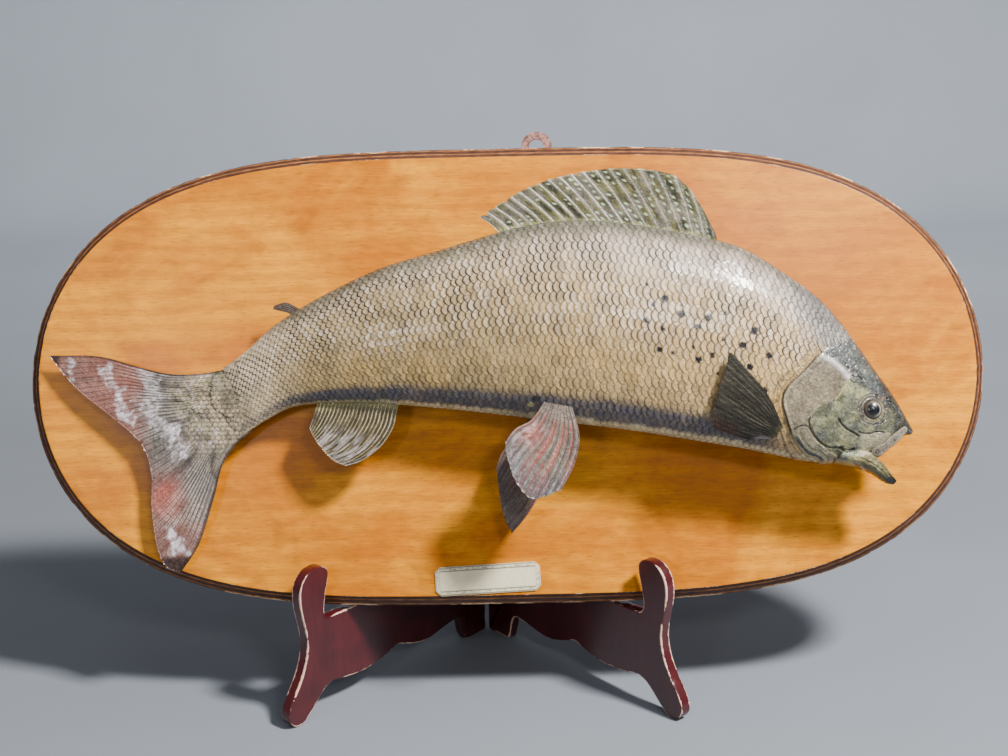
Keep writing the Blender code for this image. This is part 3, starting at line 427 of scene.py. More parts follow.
CHIPPED = srgb(206, 172, 132)
MAROON = srgb(62, 13, 18)
RUBBED = srgb(206, 170, 150)
PAPER = srgb(214, 204, 172)
BORDER_INK = srgb(92, 96, 82)
LINE_INK = srgb(60, 58, 52)

# Marks by the front of the pelvic fins: place (u, v) and radius in millimetres, and colour.
VENT_MARKS = ((17.4, -13.2, 2.4, CRACK_AND_SHADE), (14.6, -16.6, 1.9, YELLOW))


def step(value, low, high):
    """Rises smoothly from 0 to 1 as value goes from low to high."""
    share = np.clip((value - low) / (high - low), 0.0, 1.0)
    return share * share * (3 - 2 * share)


def bell(value, width):
    """Falls smoothly from 1 at value 0 towards 0, about width away on either side."""
    return np.exp(-(value / width) ** 2)


def blend(one, two, share):
    """Colours mixed by an array of shares."""
    return one + (two - one) * np.asarray(share)[..., None]


def noise(places, size, seed=0):
    """Smooth noise from -1 to 1, with features of a given size, at an array of places."""
    cell = np.asarray(places) / size
    base = np.floor(cell).astype(np.int64)
    t = cell - base
    t = t * t * (3 - 2 * t)
    total = np.zeros(cell.shape[:-1])
    for corner in np.ndindex(*(2,) * cell.shape[-1]):
        key = np.full(cell.shape[:-1], seed * HASH_SEED, np.int64)
        weight = np.ones(cell.shape[:-1])
        for axis, side in enumerate(corner):
            key = key + (base[..., axis] + side) * HASH_STEPS[axis]
            weight = weight * (t[..., axis] if side else 1 - t[..., axis])
        key = (key ^ (key >> 13)) * HASH_MIX
        key = (key ^ (key >> 17)) & HASH_MASK
        total += weight * (2 * key / HASH_MASK - 1)
    return total


def rough(places, size, seed=0):
    """Noise with finer noise added to it."""
    return (noise(places, size, seed) + noise(places, size / 2.3, seed + 1) / 2) / 1.5


def wrinkles(places, size, seed, width):
    """Thin wandering lines, 1 on the line and 0 away from it, like folds in dried skin."""
    return bell(noise(places, size, seed) + 0.35 * noise(places, size / 2.7, seed + 1), width)


def smooth_line(points, steps=6):
    """A Catmull-Rom line through places in millimetres, as an array in metres."""
    points = np.array(points, float) * MM
    padded = np.vstack([2 * points[0] - points[1], points, 2 * points[-1] - points[-2]])
    line = []
    for before, start, end, after in zip(padded, padded[1:], padded[2:], padded[3:]):
        for t in np.arange(steps) / steps:
            pull = (end - before) * t * (1 - t) ** 2 / 2 - (after - start) * t * t * (1 - t) / 2
            line.append(start * (1 + 2 * t) * (1 - t) ** 2 + end * t * t * (3 - 2 * t) + pull)
    return np.array([*line, points[-1]])


def along(line, share):
    """The places at shares (0 to 1) of a line's length."""
    lengths = np.concatenate([[0.0], np.cumsum(np.linalg.norm(np.diff(line, axis=0), axis=1))])
    lengths /= lengths[-1]
    return np.stack([np.interp(share, lengths, line[:, axis]) for axis in (0, 1)], axis=-1)


def nearness(line, u, v):
    """Each place's distance to a line, and the share of the line where it is nearest."""
    place = np.stack([u, v], axis=-1)
    best = np.full(np.shape(u), np.inf)
    where = np.zeros(np.shape(u))
    for index, (start, end) in enumerate(zip(line, line[1:])):
        run = end - start
        t = np.clip(((place - start) @ run) / (run @ run), 0.0, 1.0)
        distance = np.linalg.norm(place - start - t[..., None] * run, axis=-1)
        closer = distance < best
        best = np.where(closer, distance, best)
        where = np.where(closer, (index + t) / (len(line) - 1), where)
    return best, where


def inside(outline, u, v):
    """Which places lie inside a closed outline."""
    found = np.zeros(np.shape(u), bool)
    for (u0, v0), (u1, v1) in zip(outline, np.roll(outline, -1, axis=0)):
        if v0 == v1:
            continue
        crosses = ((v0 > v) != (v1 > v)) & (u < (u1 - u0) * (v - v0) / (v1 - v0) + u0)
        found ^= crosses
    return found


class Loft:
    """A body of smooth cross-sections, the same surface as in the CAD source."""

    def __init__(self, cuts, fullness=BODY_FULLNESS):
        self.fullness = fullness
        self.rows = np.array([(*back, *belly, height, half) for back, belly, height, half in cuts.values()])
        self.rows = self.rows * MM
        middles = (self.rows[:, :2] + self.rows[:, 2:4]) / 2
        self.spans = np.linalg.norm(np.diff(middles, axis=0), axis=1)
        self.knots = np.concatenate([[0.0], np.cumsum(self.spans)])
        self.length = self.knots[-1]
        rates = np.diff(self.rows, axis=0) / self.spans[:, None]
        before, after = self.spans[:-1, None], self.spans[1:, None]
        inner = (rates[1:] * before + rates[:-1] * after) / (before + after)
        self.slopes = np.vstack([rates[:1], inner, rates[-1:]])

    def at(self, distance):
        """Back, belly (u, v), height and half-width at distances from the front end, in six columns."""
        distance = np.clip(distance, 0.0, self.length)
        index = np.clip(np.searchsorted(self.knots, distance, side="right") - 1, 0, len(self.spans) - 1)
        span = self.spans[index][..., None]
        t = (distance - self.knots[index])[..., None] / span
        here, after = index, index + 1
        ends = self.rows[here] * (1 + 2 * t) * (1 - t) ** 2 + self.rows[after] * t * t * (3 - 2 * t)
        pull = self.slopes[here] * t * (1 - t) ** 2 - self.slopes[after] * t * t * (1 - t)
        return ends + span * pull

    def point(self, distance, turn, grow=0.0, thin=1.0):
        """Places on the surface: turn 0 is the back, a quarter turn is the side away from the board."""
        row = self.at(np.asarray(distance, float))
        half = (row[..., :2] - row[..., 2:4]) / 2
        reach = np.linalg.norm(half, axis=-1)
        across = np.sin(turn)
        out = np.sign(across) * np.abs(across) ** self.fullness * (row[..., 5] * thin + grow)
        lift = (reach + grow) * np.cos(turn) / reach
        flat = (row[..., :2] + row[..., 2:4]) / 2 + half * lift[..., None]
        height = np.maximum(row[..., 4] + out, GAP - grow)
        return np.concatenate([flat, height[..., None]], axis=-1)

    def locate(self, u, v):
        """The distance along the body and the turn from the back of places (u, v)."""
        low, high = np.zeros(np.shape(u)), np.full(np.shape(u), self.length)
        for _ in range(LOCATE_HALVINGS):
            distance = (low + high) / 2
            row = self.at(distance)
            cut = row[..., :2] - row[..., 2:4]
            ahead = cut[..., 0] * (v - row[..., 3]) - cut[..., 1] * (u - row[..., 2]) > 0
            low, high = np.where(ahead, distance, low), np.where(ahead, high, distance)
        middle = (row[..., :2] + row[..., 2:4]) / 2
        share = (u - middle[..., 0]) * cut[..., 0] + (v - middle[..., 1]) * cut[..., 1]
        share = share / (cut**2).sum(axis=-1) * 2
        return distance, np.arccos(np.clip(share, -1.0, 1.0))

    def flank(self, u, v, far=False):
        """The height above the board of the surface over (u, v)."""
        distance, turn = self.locate(np.asarray(u, float), np.asarray(v, float))
        return self.point(distance, -turn if far else turn)[..., 2]

    def thinning(self, distance):
        """The share of its width that the body keeps near its rear end."""
        share = np.clip((np.asarray(distance) - self.length + TAPER_LENGTH) / TAPER_LENGTH, 0.0, 1.0)
        return TAPER_END + (1 - TAPER_END) * np.sqrt(1 - share**2)


class Girth:
    """Equal steps round a body, from the middle of its far side over the back and round the belly."""

    def __init__(self, loft, rows=260, columns=720):
        self.loft, self.columns = loft, columns
        self.distances = np.linspace(0.0, loft.length, rows)
        turns = np.linspace(-math.pi / 2, 3 * math.pi / 2, columns + 1)
        points = loft.point(self.distances[:, None], turns[None, :])
        steps = np.linalg.norm(np.diff(points, axis=1), axis=-1)
        lengths = np.hstack([np.zeros((rows, 1)), np.cumsum(steps, axis=1)])
        shares = np.linspace(0.0, 1.0, columns + 1)
        self.turns = np.array([np.interp(shares, line / line[-1], turns) for line in lengths])

    def turn(self, distance, share):
        """The turn from the back at a share of the way round."""
        row = np.clip(distance / self.loft.length, 0.0, 1.0) * (len(self.distances) - 1)
        column = (share % 1.0) * self.columns
        low_row = np.minimum(row.astype(int), len(self.distances) - 2)
        low_column = np.minimum(column.astype(int), self.columns - 1)
        t, s = row - low_row, column - low_column
        one, two = self.turns[low_row, low_column], self.turns[low_row, low_column + 1]
        three, four = self.turns[low_row + 1, low_column], self.turns[low_row + 1, low_column + 1]
        return (one * (1 - s) + two * s) * (1 - t) + (three * (1 - s) + four * s) * t


def quads(rows, columns, closed=False, start=0):
    """The quads between the points of a grid."""
    index = np.arange(rows * columns).reshape(rows, columns) + start
    here, after = (index, np.roll(index, -1, axis=1)) if closed else (index[:, :-1], index[:, 1:])
    return np.stack([here[:-1], after[:-1], after[1:], here[1:]], axis=-1).reshape(-1, 4)


def closed_sheet(rows, columns):
    """The faces of two equal grids, listed one after the other, and of the walls between their edges."""
    count = rows * columns
    index = np.arange(count).reshape(rows, columns)
    around = np.concatenate([index[:, 0], index[-1, 1:], index[-2::-1, -1], index[0, -2:0:-1]])
    after = np.roll(around, -1)
    walls = np.column_stack([around, after, after + count, around + count])
    return [*quads(rows, columns)[:, ::-1], *quads(rows, columns, start=count), *walls]


def capped_rings(rows, columns):
    """The faces of a stack of closed rings, with one flat face at each end."""
    last = (rows - 1) * columns
    faces = quads(rows, columns, closed=True)[:, ::-1].tolist()
    return [*faces, list(range(columns)), list(range(last, last + columns))[::-1]]


def build(name, points, faces, look, attributes, placed=True):
    """A mesh piece that rides on the object's one body."""
    mesh = bpy.data.meshes.new(name)
    mesh.from_pydata(np.asarray(points).reshape(-1, 3).tolist(), [], [list(face) for face in faces])
    return finish_piece(name, mesh, look, attributes, placed)


def finish_piece(name, mesh, look, attributes, placed=True):
    """Gives a mesh its tints and material, and lets it ride; placed ones are in the board's frame."""
    for key, values in attributes.items():
        paint(mesh, key, values)
    mesh.materials.clear()
    mesh.materials.append(look)
    piece = bpy.data.objects.new(name, mesh)
    bpy.context.scene.collection.objects.link(piece)
    if placed:
        piece.matrix_world = BOARD_FRAME
    mesh.shade_smooth()
    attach(piece, BODY)
    return piece


def paint(mesh, key, values):
    """Stores a number or a colour at every point of a mesh."""
    values = np.asarray(values, np.float32)
    if values.shape[-1:] == (3,) and values.size == 3 * len(mesh.vertices):
        values = np.concatenate([values.reshape(-1, 3), np.ones((len(mesh.vertices), 1), np.float32)], axis=1)
        mesh.attributes.new(key, "FLOAT_COLOR", "POINT").data.foreach_set("color", values.ravel())
    else:
        mesh.attributes.new(key, "FLOAT", "POINT").data.foreach_set("value", values.ravel())


def places_of(mesh):
    """The places of a mesh's points."""
    places = np.empty(len(mesh.vertices) * 3, np.float32)
    mesh.vertices.foreach_get("co", places)
    return places.reshape(-1, 3).astype(float)


class Look:
    """A material made of procedural nodes around one principled shader."""

    def __init__(self, name, **constants):
        self.material = bpy.data.materials.new(name)
        self.material.use_nodes = True
        self.tree = self.material.node_tree
        self.shader = self.tree.nodes["Principled BSDF"]
        for key, value in constants.items():
            self.shader.inputs[SOCKETS[key]].default_value = value
        self.place = self.tree.nodes.new("ShaderNodeTexCoord").outputs["Object"]

    def put(self, socket, value):
        """Feeds a socket with another node's output, or with a number or colour."""
        if isinstance(value, bpy.types.NodeSocket):
            self.tree.links.new(value, socket)
        elif isinstance(value, (int, float)):
            socket.default_value = value
        else:
            socket.default_value = (*[float(part) for part in value], 1.0)[: len(socket.default_value)]

    def attribute(self, name, output="Color"):
        """A value painted on the mesh."""
        made = self.tree.nodes.new("ShaderNodeAttribute")
        made.attribute_name = name
        return made.outputs[output]

    def stretched(self, stretch):
        """The object's own places, stretched along each axis."""
        made = self.tree.nodes.new("ShaderNodeMapping")
        made.inputs["Scale"].default_value = stretch
        self.tree.links.new(self.place, made.inputs["Vector"])
        return made.outputs["Vector"]

    def noise(self, size, detail=3.0, stretch=None, distortion=0.0, roughness=0.55):
        """Noise with features of a given size in metres."""
        made = self.tree.nodes.new("ShaderNodeTexNoise")
        made.inputs["Scale"].default_value = 1 / size
        made.inputs["Detail"].default_value = detail
        made.inputs["Roughness"].default_value = roughness
        made.inputs["Distortion"].default_value = distortion
        self.tree.links.new(self.stretched(stretch) if stretch else self.place, made.inputs["Vector"])
        return made.outputs["Fac"]

    def waves(self, size, stretch, distortion, detail=2.0):
        """Bands across v, bent by noise, like the growth lines of flat-sawn wood."""
        made = self.tree.nodes.new("ShaderNodeTexWave")
        made.bands_direction = "Y"
        made.inputs["Scale"].default_value = 1 / size
        made.inputs["Distortion"].default_value = distortion
        made.inputs["Detail"].default_value = detail
        self.tree.links.new(self.stretched(stretch), made.inputs["Vector"])
        return made.outputs["Fac"]

    def part(self, axis):
        """One coordinate of the object's own places."""
        made = self.tree.nodes.new("ShaderNodeSeparateXYZ")
        self.tree.links.new(self.place, made.inputs[0])
        return made.outputs[axis]

    def sum(self, operation, one, two=0.0):
        """One step of arithmetic on two values."""
        made = self.tree.nodes.new("ShaderNodeMath")
        made.operation = operation
        self.put(made.inputs[0], one)
        self.put(made.inputs[1], two)
        return made.outputs[0]

    def between(self, value, low, high, start=0.0, end=1.0):
        """Maps value from the range low to high onto the range start to end."""
        made = self.tree.nodes.new("ShaderNodeMapRange")
        made.interpolation_type = "SMOOTHSTEP"
        self.put(made.inputs["Value"], value)
        for key, number in (("From Min", low), ("From Max", high), ("To Min", start), ("To Max", end)):
            made.inputs[key].default_value = number
        return made.outputs["Result"]

    def mix(self, share, one, two, kind="MIX"):
        """One colour laid over another by a share."""
        made = self.tree.nodes.new("ShaderNodeMix")
        made.data_type = "RGBA"
        made.blend_type = kind
        self.put(made.inputs["Factor"], share)
        self.put(made.inputs[6], one)
        self.put(made.inputs[7], two)
        return made.outputs[2]

    def varied(self, colour, value, low, high):
        """A colour made darker or lighter as a value goes from 0 to 1."""
        grey = self.between(value, 0.2, 0.8, low, high)
        made = self.tree.nodes.new("ShaderNodeCombineColor")
        for socket in made.inputs[:3]:
            self.tree.links.new(grey, socket)
        return self.mix(1.0, colour, made.outputs[0], "MULTIPLY")

    def bump(self, height, strength, distance=0.0005):
        """Adds fine relief to the relief there is."""
        made = self.tree.nodes.new("ShaderNodeBump")
        made.inputs["Strength"].default_value = strength
        made.inputs["Distance"].default_value = distance
        self.tree.links.new(height, made.inputs["Height"])
        before = self.shader.inputs["Normal"]
        if before.is_linked:
            self.tree.links.new(before.links[0].from_socket, made.inputs["Normal"])
        self.tree.links.new(made.outputs["Normal"], before)

    def done(self, colour, roughness):
        """Sets the colour and roughness, and returns the material."""
        self.put(self.shader.inputs["Base Color"], colour)
        self.put(self.shader.inputs["Roughness"], roughness)
        return self.material


def skin_look(name, shine, grain, gloss=0.4):
    """Varnished dried skin: the painted tint, mottled, under an uneven satin varnish."""
    look = Look(name, coat_weight=shine, coat_roughness=0.15, specular=0.25)
    colour = look.varied(look.attribute("tint"), look.noise(0.0010, 4.0), 0.66, 1.32)
    colour = look.varied(colour, look.noise(0.009, 3.0), 0.88, 1.12)
    look.bump(look.noise(0.0009, 4.0), grain, 0.0005)
    look.bump(look.noise(0.0030, 2.0), grain, 0.0009)
    return look.done(colour, look.between(look.noise(0.006, 3.0), 0.3, 0.7, gloss - 0.07, gloss + 0.10))


def fin_look(name, gloss, shine):
    """Dried fin: the painted tint over fine lengthwise fibres, with glossy varnish in patches."""
    look = Look(name, coat_weight=shine, coat_roughness=0.13, specular=0.25)
    colour = look.varied(look.attribute("tint"), look.noise(0.0009, 4.0), 0.60, 1.40)
    colour = look.varied(colour, look.noise(0.006, 3.0), 0.82, 1.16)
    look.bump(look.noise(0.0010, 3.0), 0.8, 0.0004)
    look.bump(look.noise(0.0034, 2.0), 0.6, 0.0010)
    return look.done(colour, look.between(look.noise(0.007, 3.0), 0.35, 0.65, gloss - 0.12, gloss + 0.15))


def wood_look():
    """Honey-varnished plywood: fine grain along u, broad growth lines, blotches of stain."""
    look = Look("varnished_plywood", coat_weight=0.08, coat_roughness=0.24, specular=0.22)
    broad = look.waves(0.030, (0.25, 1.0, 1.0), 7.0)
    fine = look.noise(0.0012, 4.0, (0.10, 1.0, 1.0))
    pores = look.noise(0.0009, 2.0, (0.16, 1.0, 1.0))
    blotch = look.noise(0.070, 4.0, (0.7, 1.0, 1.0), 1.2)
    colour = look.mix(look.between(blotch, 0.35, 0.68), HONEY, GOLDEN)
    colour = look.mix(look.between(broad, 0.1, 0.95, 0.0, 0.28), colour, GROWTH_LINE)
    stains = look.noise(0.045, 4.0, (0.8, 1.0, 1.0), 1.6)
    colour = look.mix(look.between(stains, 0.55, 0.75, 0.0, 0.35), colour, WOOD_STAIN)
    figure = look.noise(0.006, 4.0, (0.5, 1.0, 1.0), 1.0)
    colour = look.varied(colour, figure, 0.88, 1.09)
    colour = look.varied(colour, fine, 0.84, 1.12)
    colour = look.mix(look.between(pores, 0.56, 0.74, 0.0, 0.50), colour, WOOD_PORE)
    rim = look.attribute("rim", "Fac")
    ply = look.sum("SINE", look.sum("MULTIPLY", look.part(2), FULL_TURN / PLY_STEP))
    stain = look.mix(look.between(ply, 0.2, 0.9, 0.0, 0.50), PLY_DARK, PLY_PALE)
    stain = look.varied(stain, look.noise(0.0030, 4.0, (0.5, 1.0, 2.0)), 0.45, 1.55)
    damage = look.sum("ADD", look.attribute("chip", "Fac"), look.noise(0.0022, 4.0))
    chipped = look.between(damage, 1.05, 1.25)
    stain = look.mix(chipped, stain, CHIPPED)
    look.bump(fine, 0.06, 0.0003)
    look.bump(pores, 0.08, 0.0002)
    gloss = look.between(blotch, 0.3, 0.7, 0.30, 0.40)
    return look.done(look.mix(rim, colour, stain), look.sum("ADD", gloss, look.sum("MULTIPLY", rim, 0.2)))


def lacquer_look():
    """Dark maroon lacquer, rubbed through to pale wood along the edges."""
    look = Look("maroon_lacquer", coat_weight=0.35, coat_roughness=0.18)
    grain = look.noise(0.003, 4.0, (1.0, 1.0, 0.12))
    colour = look.varied(MAROON, look.noise(0.020, 4.0), 0.70, 1.30)
    colour = look.varied(colour, grain, 0.82, 1.15)
    wear = look.sum("MULTIPLY", look.attribute("edge", "Fac"), look.noise(0.0045, 5.0, None, 0.8, 0.7))
    bare = look.between(wear, 0.46, 0.54)
    colour = look.mix(bare, colour, RUBBED)
    look.bump(grain, 0.10, 0.0003)
    look.bump(bare, -0.3, 0.0002)
    return look.done(colour, look.between(bare, 0.0, 1.0, 0.30, 0.70))


def card_look():
    """Cream card with a printed border, its ink worn in places."""
    look = Look("label_card", coat_weight=0.1)
    print_ink = look.between(look.noise(0.0012, 4.0, (0.6, 1.2, 1.0), 1.5), 0.48, 0.60)
    border = look.sum("MULTIPLY", look.attribute("border", "Fac"), print_ink)
    paper = look.varied(PAPER, look.noise(0.004, 4.0), 0.92, 1.05)
    colour = look.mix(look.sum("MULTIPLY", border, 0.75), paper, BORDER_INK)
    colour = look.mix(look.attribute("line", "Fac"), colour, LINE_INK)
    return look.done(colour, 0.5)


def metal_look(name, bright, dull, metallic, roughness, patch=0.004):
    """Bright metal with dull, rougher dirt or rust in patches."""
    look = Look(name, metallic=metallic)
    dirt = look.noise(patch, 5.0, None, 0.6, 0.65)
    colour = look.mix(look.between(dirt, 0.42, 0.62), bright, dull)
    look.bump(look.noise(patch / 6, 4.0), 0.25, 0.0003)
    return look.done(colour, look.between(dirt, 0.35, 0.65, roughness, roughness + 0.25))


def eye_look():
    """Painted glass under an uneven gloss."""
    look = Look("glass_eye", coat_weight=0.6, coat_roughness=0.20, specular=0.4)
    colour = look.varied(look.attribute("tint"), look.noise(0.0008, 3.0), 0.9, 1.1)
    return look.done(colour, look.between(look.noise(0.003, 2.0), 0.3, 0.7, 0.26, 0.36))


def board_frame():
    """Places the board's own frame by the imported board's box."""
    low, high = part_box("board")
    reach = BOARD_MIDDLE[1] + BOARD_HALF_HEIGHT
    sine, cosine = math.sin(BOARD_LEAN), math.cos(BOARD_LEAN)
    place = Vector((
        (low.x + high.x) / 2 - BOARD_MIDDLE[0],
        high.y - reach * sine - BOARD_THICKNESS * cosine,
        high.z - reach * cosine + BOARD_CHAMFER * sine,
    ))
    return Matrix.Translation(place) @ Matrix.Rotation(math.pi / 2 - BOARD_LEAN, 4, "X")


def signed_power(value, power):
    """A power that keeps the sign of its value."""
    return np.sign(value) * np.abs(value) ** power


def rim_line(steps):
    """The board's outer edge, and the direction out of it at every place."""
    turn = np.linspace(0.0, FULL_TURN, steps, endpoint=False)
    share_u = signed_power(np.cos(turn), 2 / BOARD_SQUARENESS_ALONG)
    share_v = signed_power(np.sin(turn), 2 / BOARD_SQUARENESS_UP)
    line = np.stack([share_u * BOARD_HALF_WIDTH, share_v * BOARD_HALF_HEIGHT], axis=-1) + BOARD_MIDDLE
    even = along(np.vstack([line, line[:1]]), np.arange(steps) / steps)
    away = np.roll(even, -1, axis=0) - np.roll(even, 1, axis=0)
    away /= np.linalg.norm(away, axis=1)[:, None]
    return even, np.stack([away[:, 1], -away[:, 0]], axis=-1)


def make_board():
    """The oval board: a softened front corner, a hand-planed chamfer and a knocked outer corner."""
    line, away = rim_line(BOARD_STEPS)
    planed = noise(line, 0.020, 3) * 0.00018
    chips = step(noise(line, 0.0035, 5), 0.25, 0.9) * 0.00045
    soft = BOARD_SOFTNESS
    levels = (
        (BOARD_CHAMFER + 0.0016, 0.0, 0.0, 0.0, 0.0), (BOARD_CHAMFER + soft, 0.0, 0.0, 0.0, 0.0),
        (BOARD_CHAMFER + 0.00005, -0.00006, 1.0, 0.6, 0.0), (BOARD_CHAMFER - soft, -soft, 1.0, 0.2, 0.0),
        (BOARD_CHAMFER * 0.66, -BOARD_CHAMFER * 0.34, 1.0, 0.0, 0.0),
        (BOARD_CHAMFER * 0.33, -BOARD_CHAMFER * 0.67, 1.0, 0.0, 0.0),
        (soft * 1.5, -BOARD_CHAMFER + soft * 1.2, 1.0, 0.5, 0.6),
        (soft * 0.3, -BOARD_CHAMFER - soft, 1.0, 0.8, 1.0),
        (0.0, -BOARD_CHAMFER - 0.0012, 1.0, 0.2, 0.5), (0.0, -BOARD_THICKNESS + soft, 1.0, 0.0, 0.0),
        (soft, -BOARD_THICKNESS, 0.4, 0.3, 0.0), (0.0014, -BOARD_THICKNESS, 0.0, 0.0, 0.0),
    )
    rings, rim, chip = [], [], []
    for inset, height, stained, patchy, knocked in levels:
        inwards = inset + (planed + 0.0002) * (inset > soft) + chips * knocked + BOARD_CLEARANCE
        plain = inset > BOARD_CHAMFER or height < -BOARD_CHAMFER * 1.5
        inwards = np.where(plain, inset + 0.00025, inwards)
        ring = line - away * inwards[:, None]
        rings.append(np.column_stack([ring, np.full(len(ring), height)]))
        rim.append(np.full(len(ring), stained))
        chip.append(np.full(len(ring), patchy) * (0.4 + 0.9 * step(noise(line, 0.010, 8), -0.5, 0.7)))
    faces = capped_rings(len(levels), BOARD_STEPS)
    painted = {"rim": np.concatenate(rim), "chip": np.concatenate(chip)}
    board = build("plywood_board", np.array(rings), faces, WOOD, painted)
    board.data.set_sharp_from_angle(angle=SHARP_ANGLE)
    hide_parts("board")


def make_label():
    """A bare cream card with cut corners and a plain printed border."""
    half_u, half_v = LABEL_SIZE[0] / 2, LABEL_SIZE[1] / 2
    nick = half_v * LABEL_NICK
    across = np.concatenate([
        np.linspace(-half_u, -half_u + LABEL_FINE_END, 14),
        np.linspace(-half_u + LABEL_COARSE_START, half_u - LABEL_COARSE_START, 24),
        np.linspace(half_u - LABEL_FINE_END, half_u, 14),
    ])
    up = np.linspace(-half_v, half_v, 34)
    x, y = np.meshgrid(across, up, indexing="ij")
    corner = np.maximum(np.abs(x) - half_u + nick, 0.0)
    limit = half_v - corner
    y = y * limit / half_v
    edge = np.minimum(half_u - np.abs(x), limit - np.abs(y)) / MM
    height = GAP + LABEL_THICKNESS - 0.0002 * (1 - step(edge, 0.0, 0.35)) - 0.00002
    top = np.stack([x, y, height], axis=-1)
    low = np.stack([x, y, np.full_like(x, GAP + 0.00005)], axis=-1)
    faces = closed_sheet(*x.shape)
    border = step(edge, 0.5, 0.8) * (1 - step(edge, 2.0, 2.3))
    line = bell(edge - 0.5, 0.16) + bell(edge - 2.5, 0.16)
    both = {"border": np.tile(border.ravel(), 2), "line": np.tile(np.clip(line, 0, 1).ravel(), 2)}
    points = np.vstack([top.reshape(-1, 3), low.reshape(-1, 3)])
    sine, cosine = math.sin(LABEL_TURN), math.cos(LABEL_TURN)
    turn = np.array(((cosine, -sine), (sine, cosine)))
    points[:, :2] = points[:, :2] @ turn.T + LABEL_PLACE
    label = build("label_card", points, faces, CARD, both)
    label.data.set_sharp_from_angle(angle=SHARP_ANGLE)
    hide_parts("label")


def head_marks(u, v):
    """Distances and areas on the head that its shape and its colours both follow."""
    neck, share = nearness(NECK, u, v)
    marks = {"neck": neck / MM, "neck_share": share}
    marks["front"] = nearness(FRONT, u, v)[0] / MM
    marks["head"] = inside(HEAD_AREA, u, v)
    marks["cover"] = inside(COVER_AREA, u, v)
    marks["on_cover_edge"] = step(share, COVER_SHARE - 0.03, COVER_SHARE + 0.01)
    marks["eye"] = np.hypot(u / MM - EYE_PLACE[0], v / MM - EYE_PLACE[1])
    marks["cracks"] = []
    for points, depth, width in CRACKS:
        line = smooth_line(points)
        wander = noise(np.stack([u, v], axis=-1), 0.0016, 21) * 0.00025
        distance, share = nearness(line, u + wander, v - wander)
        ends = step(share, 0.0, 0.12) * (1 - step(share, 0.88, 1.0))
        marks["cracks"].append((depth * ends, distance / MM / width))
    marks["ridge"] = nearness(smooth_line(BONE_RIDGE), u, v)[0] / MM
    marks["cover_line"] = nearness(smooth_line(COVER_LINE), u, v)[0] / MM
    low = step((marks["neck_share"] - GILL_BANDS_START) / GILL_BANDS_RISE, 0.0, 1.0)
    marks["bands"] = low * (1 - step(marks["neck"], 4.6, 5.6)) * marks["cover"]
    return marks


def crown_of(u, v):
    """Which places are on the nape and crown, above a line that slants down to the snout."""
    return step(v + 0.79 * (u - 186.0), -7.0, 0.0)


def gill_waves(neck):
    """The bands under the gill cover, from -1 to 1, by the distance to its edge in millimetres."""
    return np.cos(FULL_TURN * (neck - 2.0) / GILL_BAND_STEP)


def folded(u, v):
    """Where the head's skin has dried into folds: over the nape and crown, down to the snout."""
    u, v = u / MM, v / MM
    crown = crown_of(u, v)
    snout = step(u + 0.35 * v, 200.0, 208.0)
    return np.clip(0.25 + crown + 0.8 * snout, 0.0, 1.0)


def girdle(u, v):
    """The bare strip of skin behind the gill cover, from 0 to 1."""
    distance, share = nearness(NECK, u, v)
    ragged = 0.7 * noise(np.stack([u, v], axis=-1), 0.004, 36)
    wide = 1 - step(distance / MM + ragged, *GIRDLE_WIDTH)
    return wide * step(share, COVER_SHARE - 0.02, COVER_SHARE + 0.02) * (1 - step(share, 0.86, 0.92))


def relief(u, v):
    """How far the skin stands out from the body's plain surface, in metres."""
    marks = head_marks(u, v)
    place = np.stack([u, v], axis=-1)
    head, cover = marks["head"], marks["cover"]
    out = np.where(head, -HEAD_DEPTH, -COAT_DEPTH)
    rise = COVER_RISE * step(marks["neck"], 0.0, 0.7) * (0.42 + 0.58 * step(marks["front"], 0.6, 6.0))
    out = np.where(cover, out + rise, out)
    slit = 0.9 * bell(marks["neck"], 0.55) * marks["on_cover_edge"]
    out = out - np.where(cover, 0.0, slit)
    strip = girdle(u, v) * ~head
    seam = 0.25 * bell(marks["neck"] - 4.4, 0.6)
    out = out + strip * (0.12 + seam - 0.25 * wrinkles(place, 0.0028, 37, 0.16))
    for depth, distance in marks["cracks"]:
        out = out - depth * bell(distance, 1.0) + depth * 0.22 * bell(distance - 2.0, 0.9)
    out = out + 0.50 * bell(marks["ridge"], 1.5) * head + 0.16 * bell(marks["cover_line"], 0.5)
    out = out + marks["bands"] * 0.26 * gill_waves(marks["neck"])
    ring = marks["eye"] - EYE_OPENING
    lid = 0.24 * bell(ring - 0.75, 0.60) - 0.16 * bell(ring - 1.9, 0.5) + 0.12 * bell(ring - 2.6, 0.4)
    lid = lid - 0.16 * bell(ring - 3.3, 0.4) + 0.12 * bell(ring - 4.1, 0.5)
    out = out + lid - 1.5 * (1 - step(ring, -0.45, 0.35))
    for nostril in NOSTRILS:
        distance = np.hypot(u / MM - nostril[0], v / MM - nostril[1])
        pit = NOSTRIL_DEPTH * (1 - step(distance, NOSTRIL_RADIUS * 0.35, NOSTRIL_RADIUS))
        out = out - pit + 0.18 * bell(distance - NOSTRIL_RADIUS * 1.35, 0.35)
    out = out - folded(u, v) * head * (0.24 * wrinkles(place, 0.0044, 31, 0.09) - 0.06)
    out = out - head * 0.12 * wrinkles(place, 0.0021, 33, 0.13) * (1 - 0.6 * cover)
    out = out + head * 0.10 * rough(place, 0.0011, 34)
    return out * MM


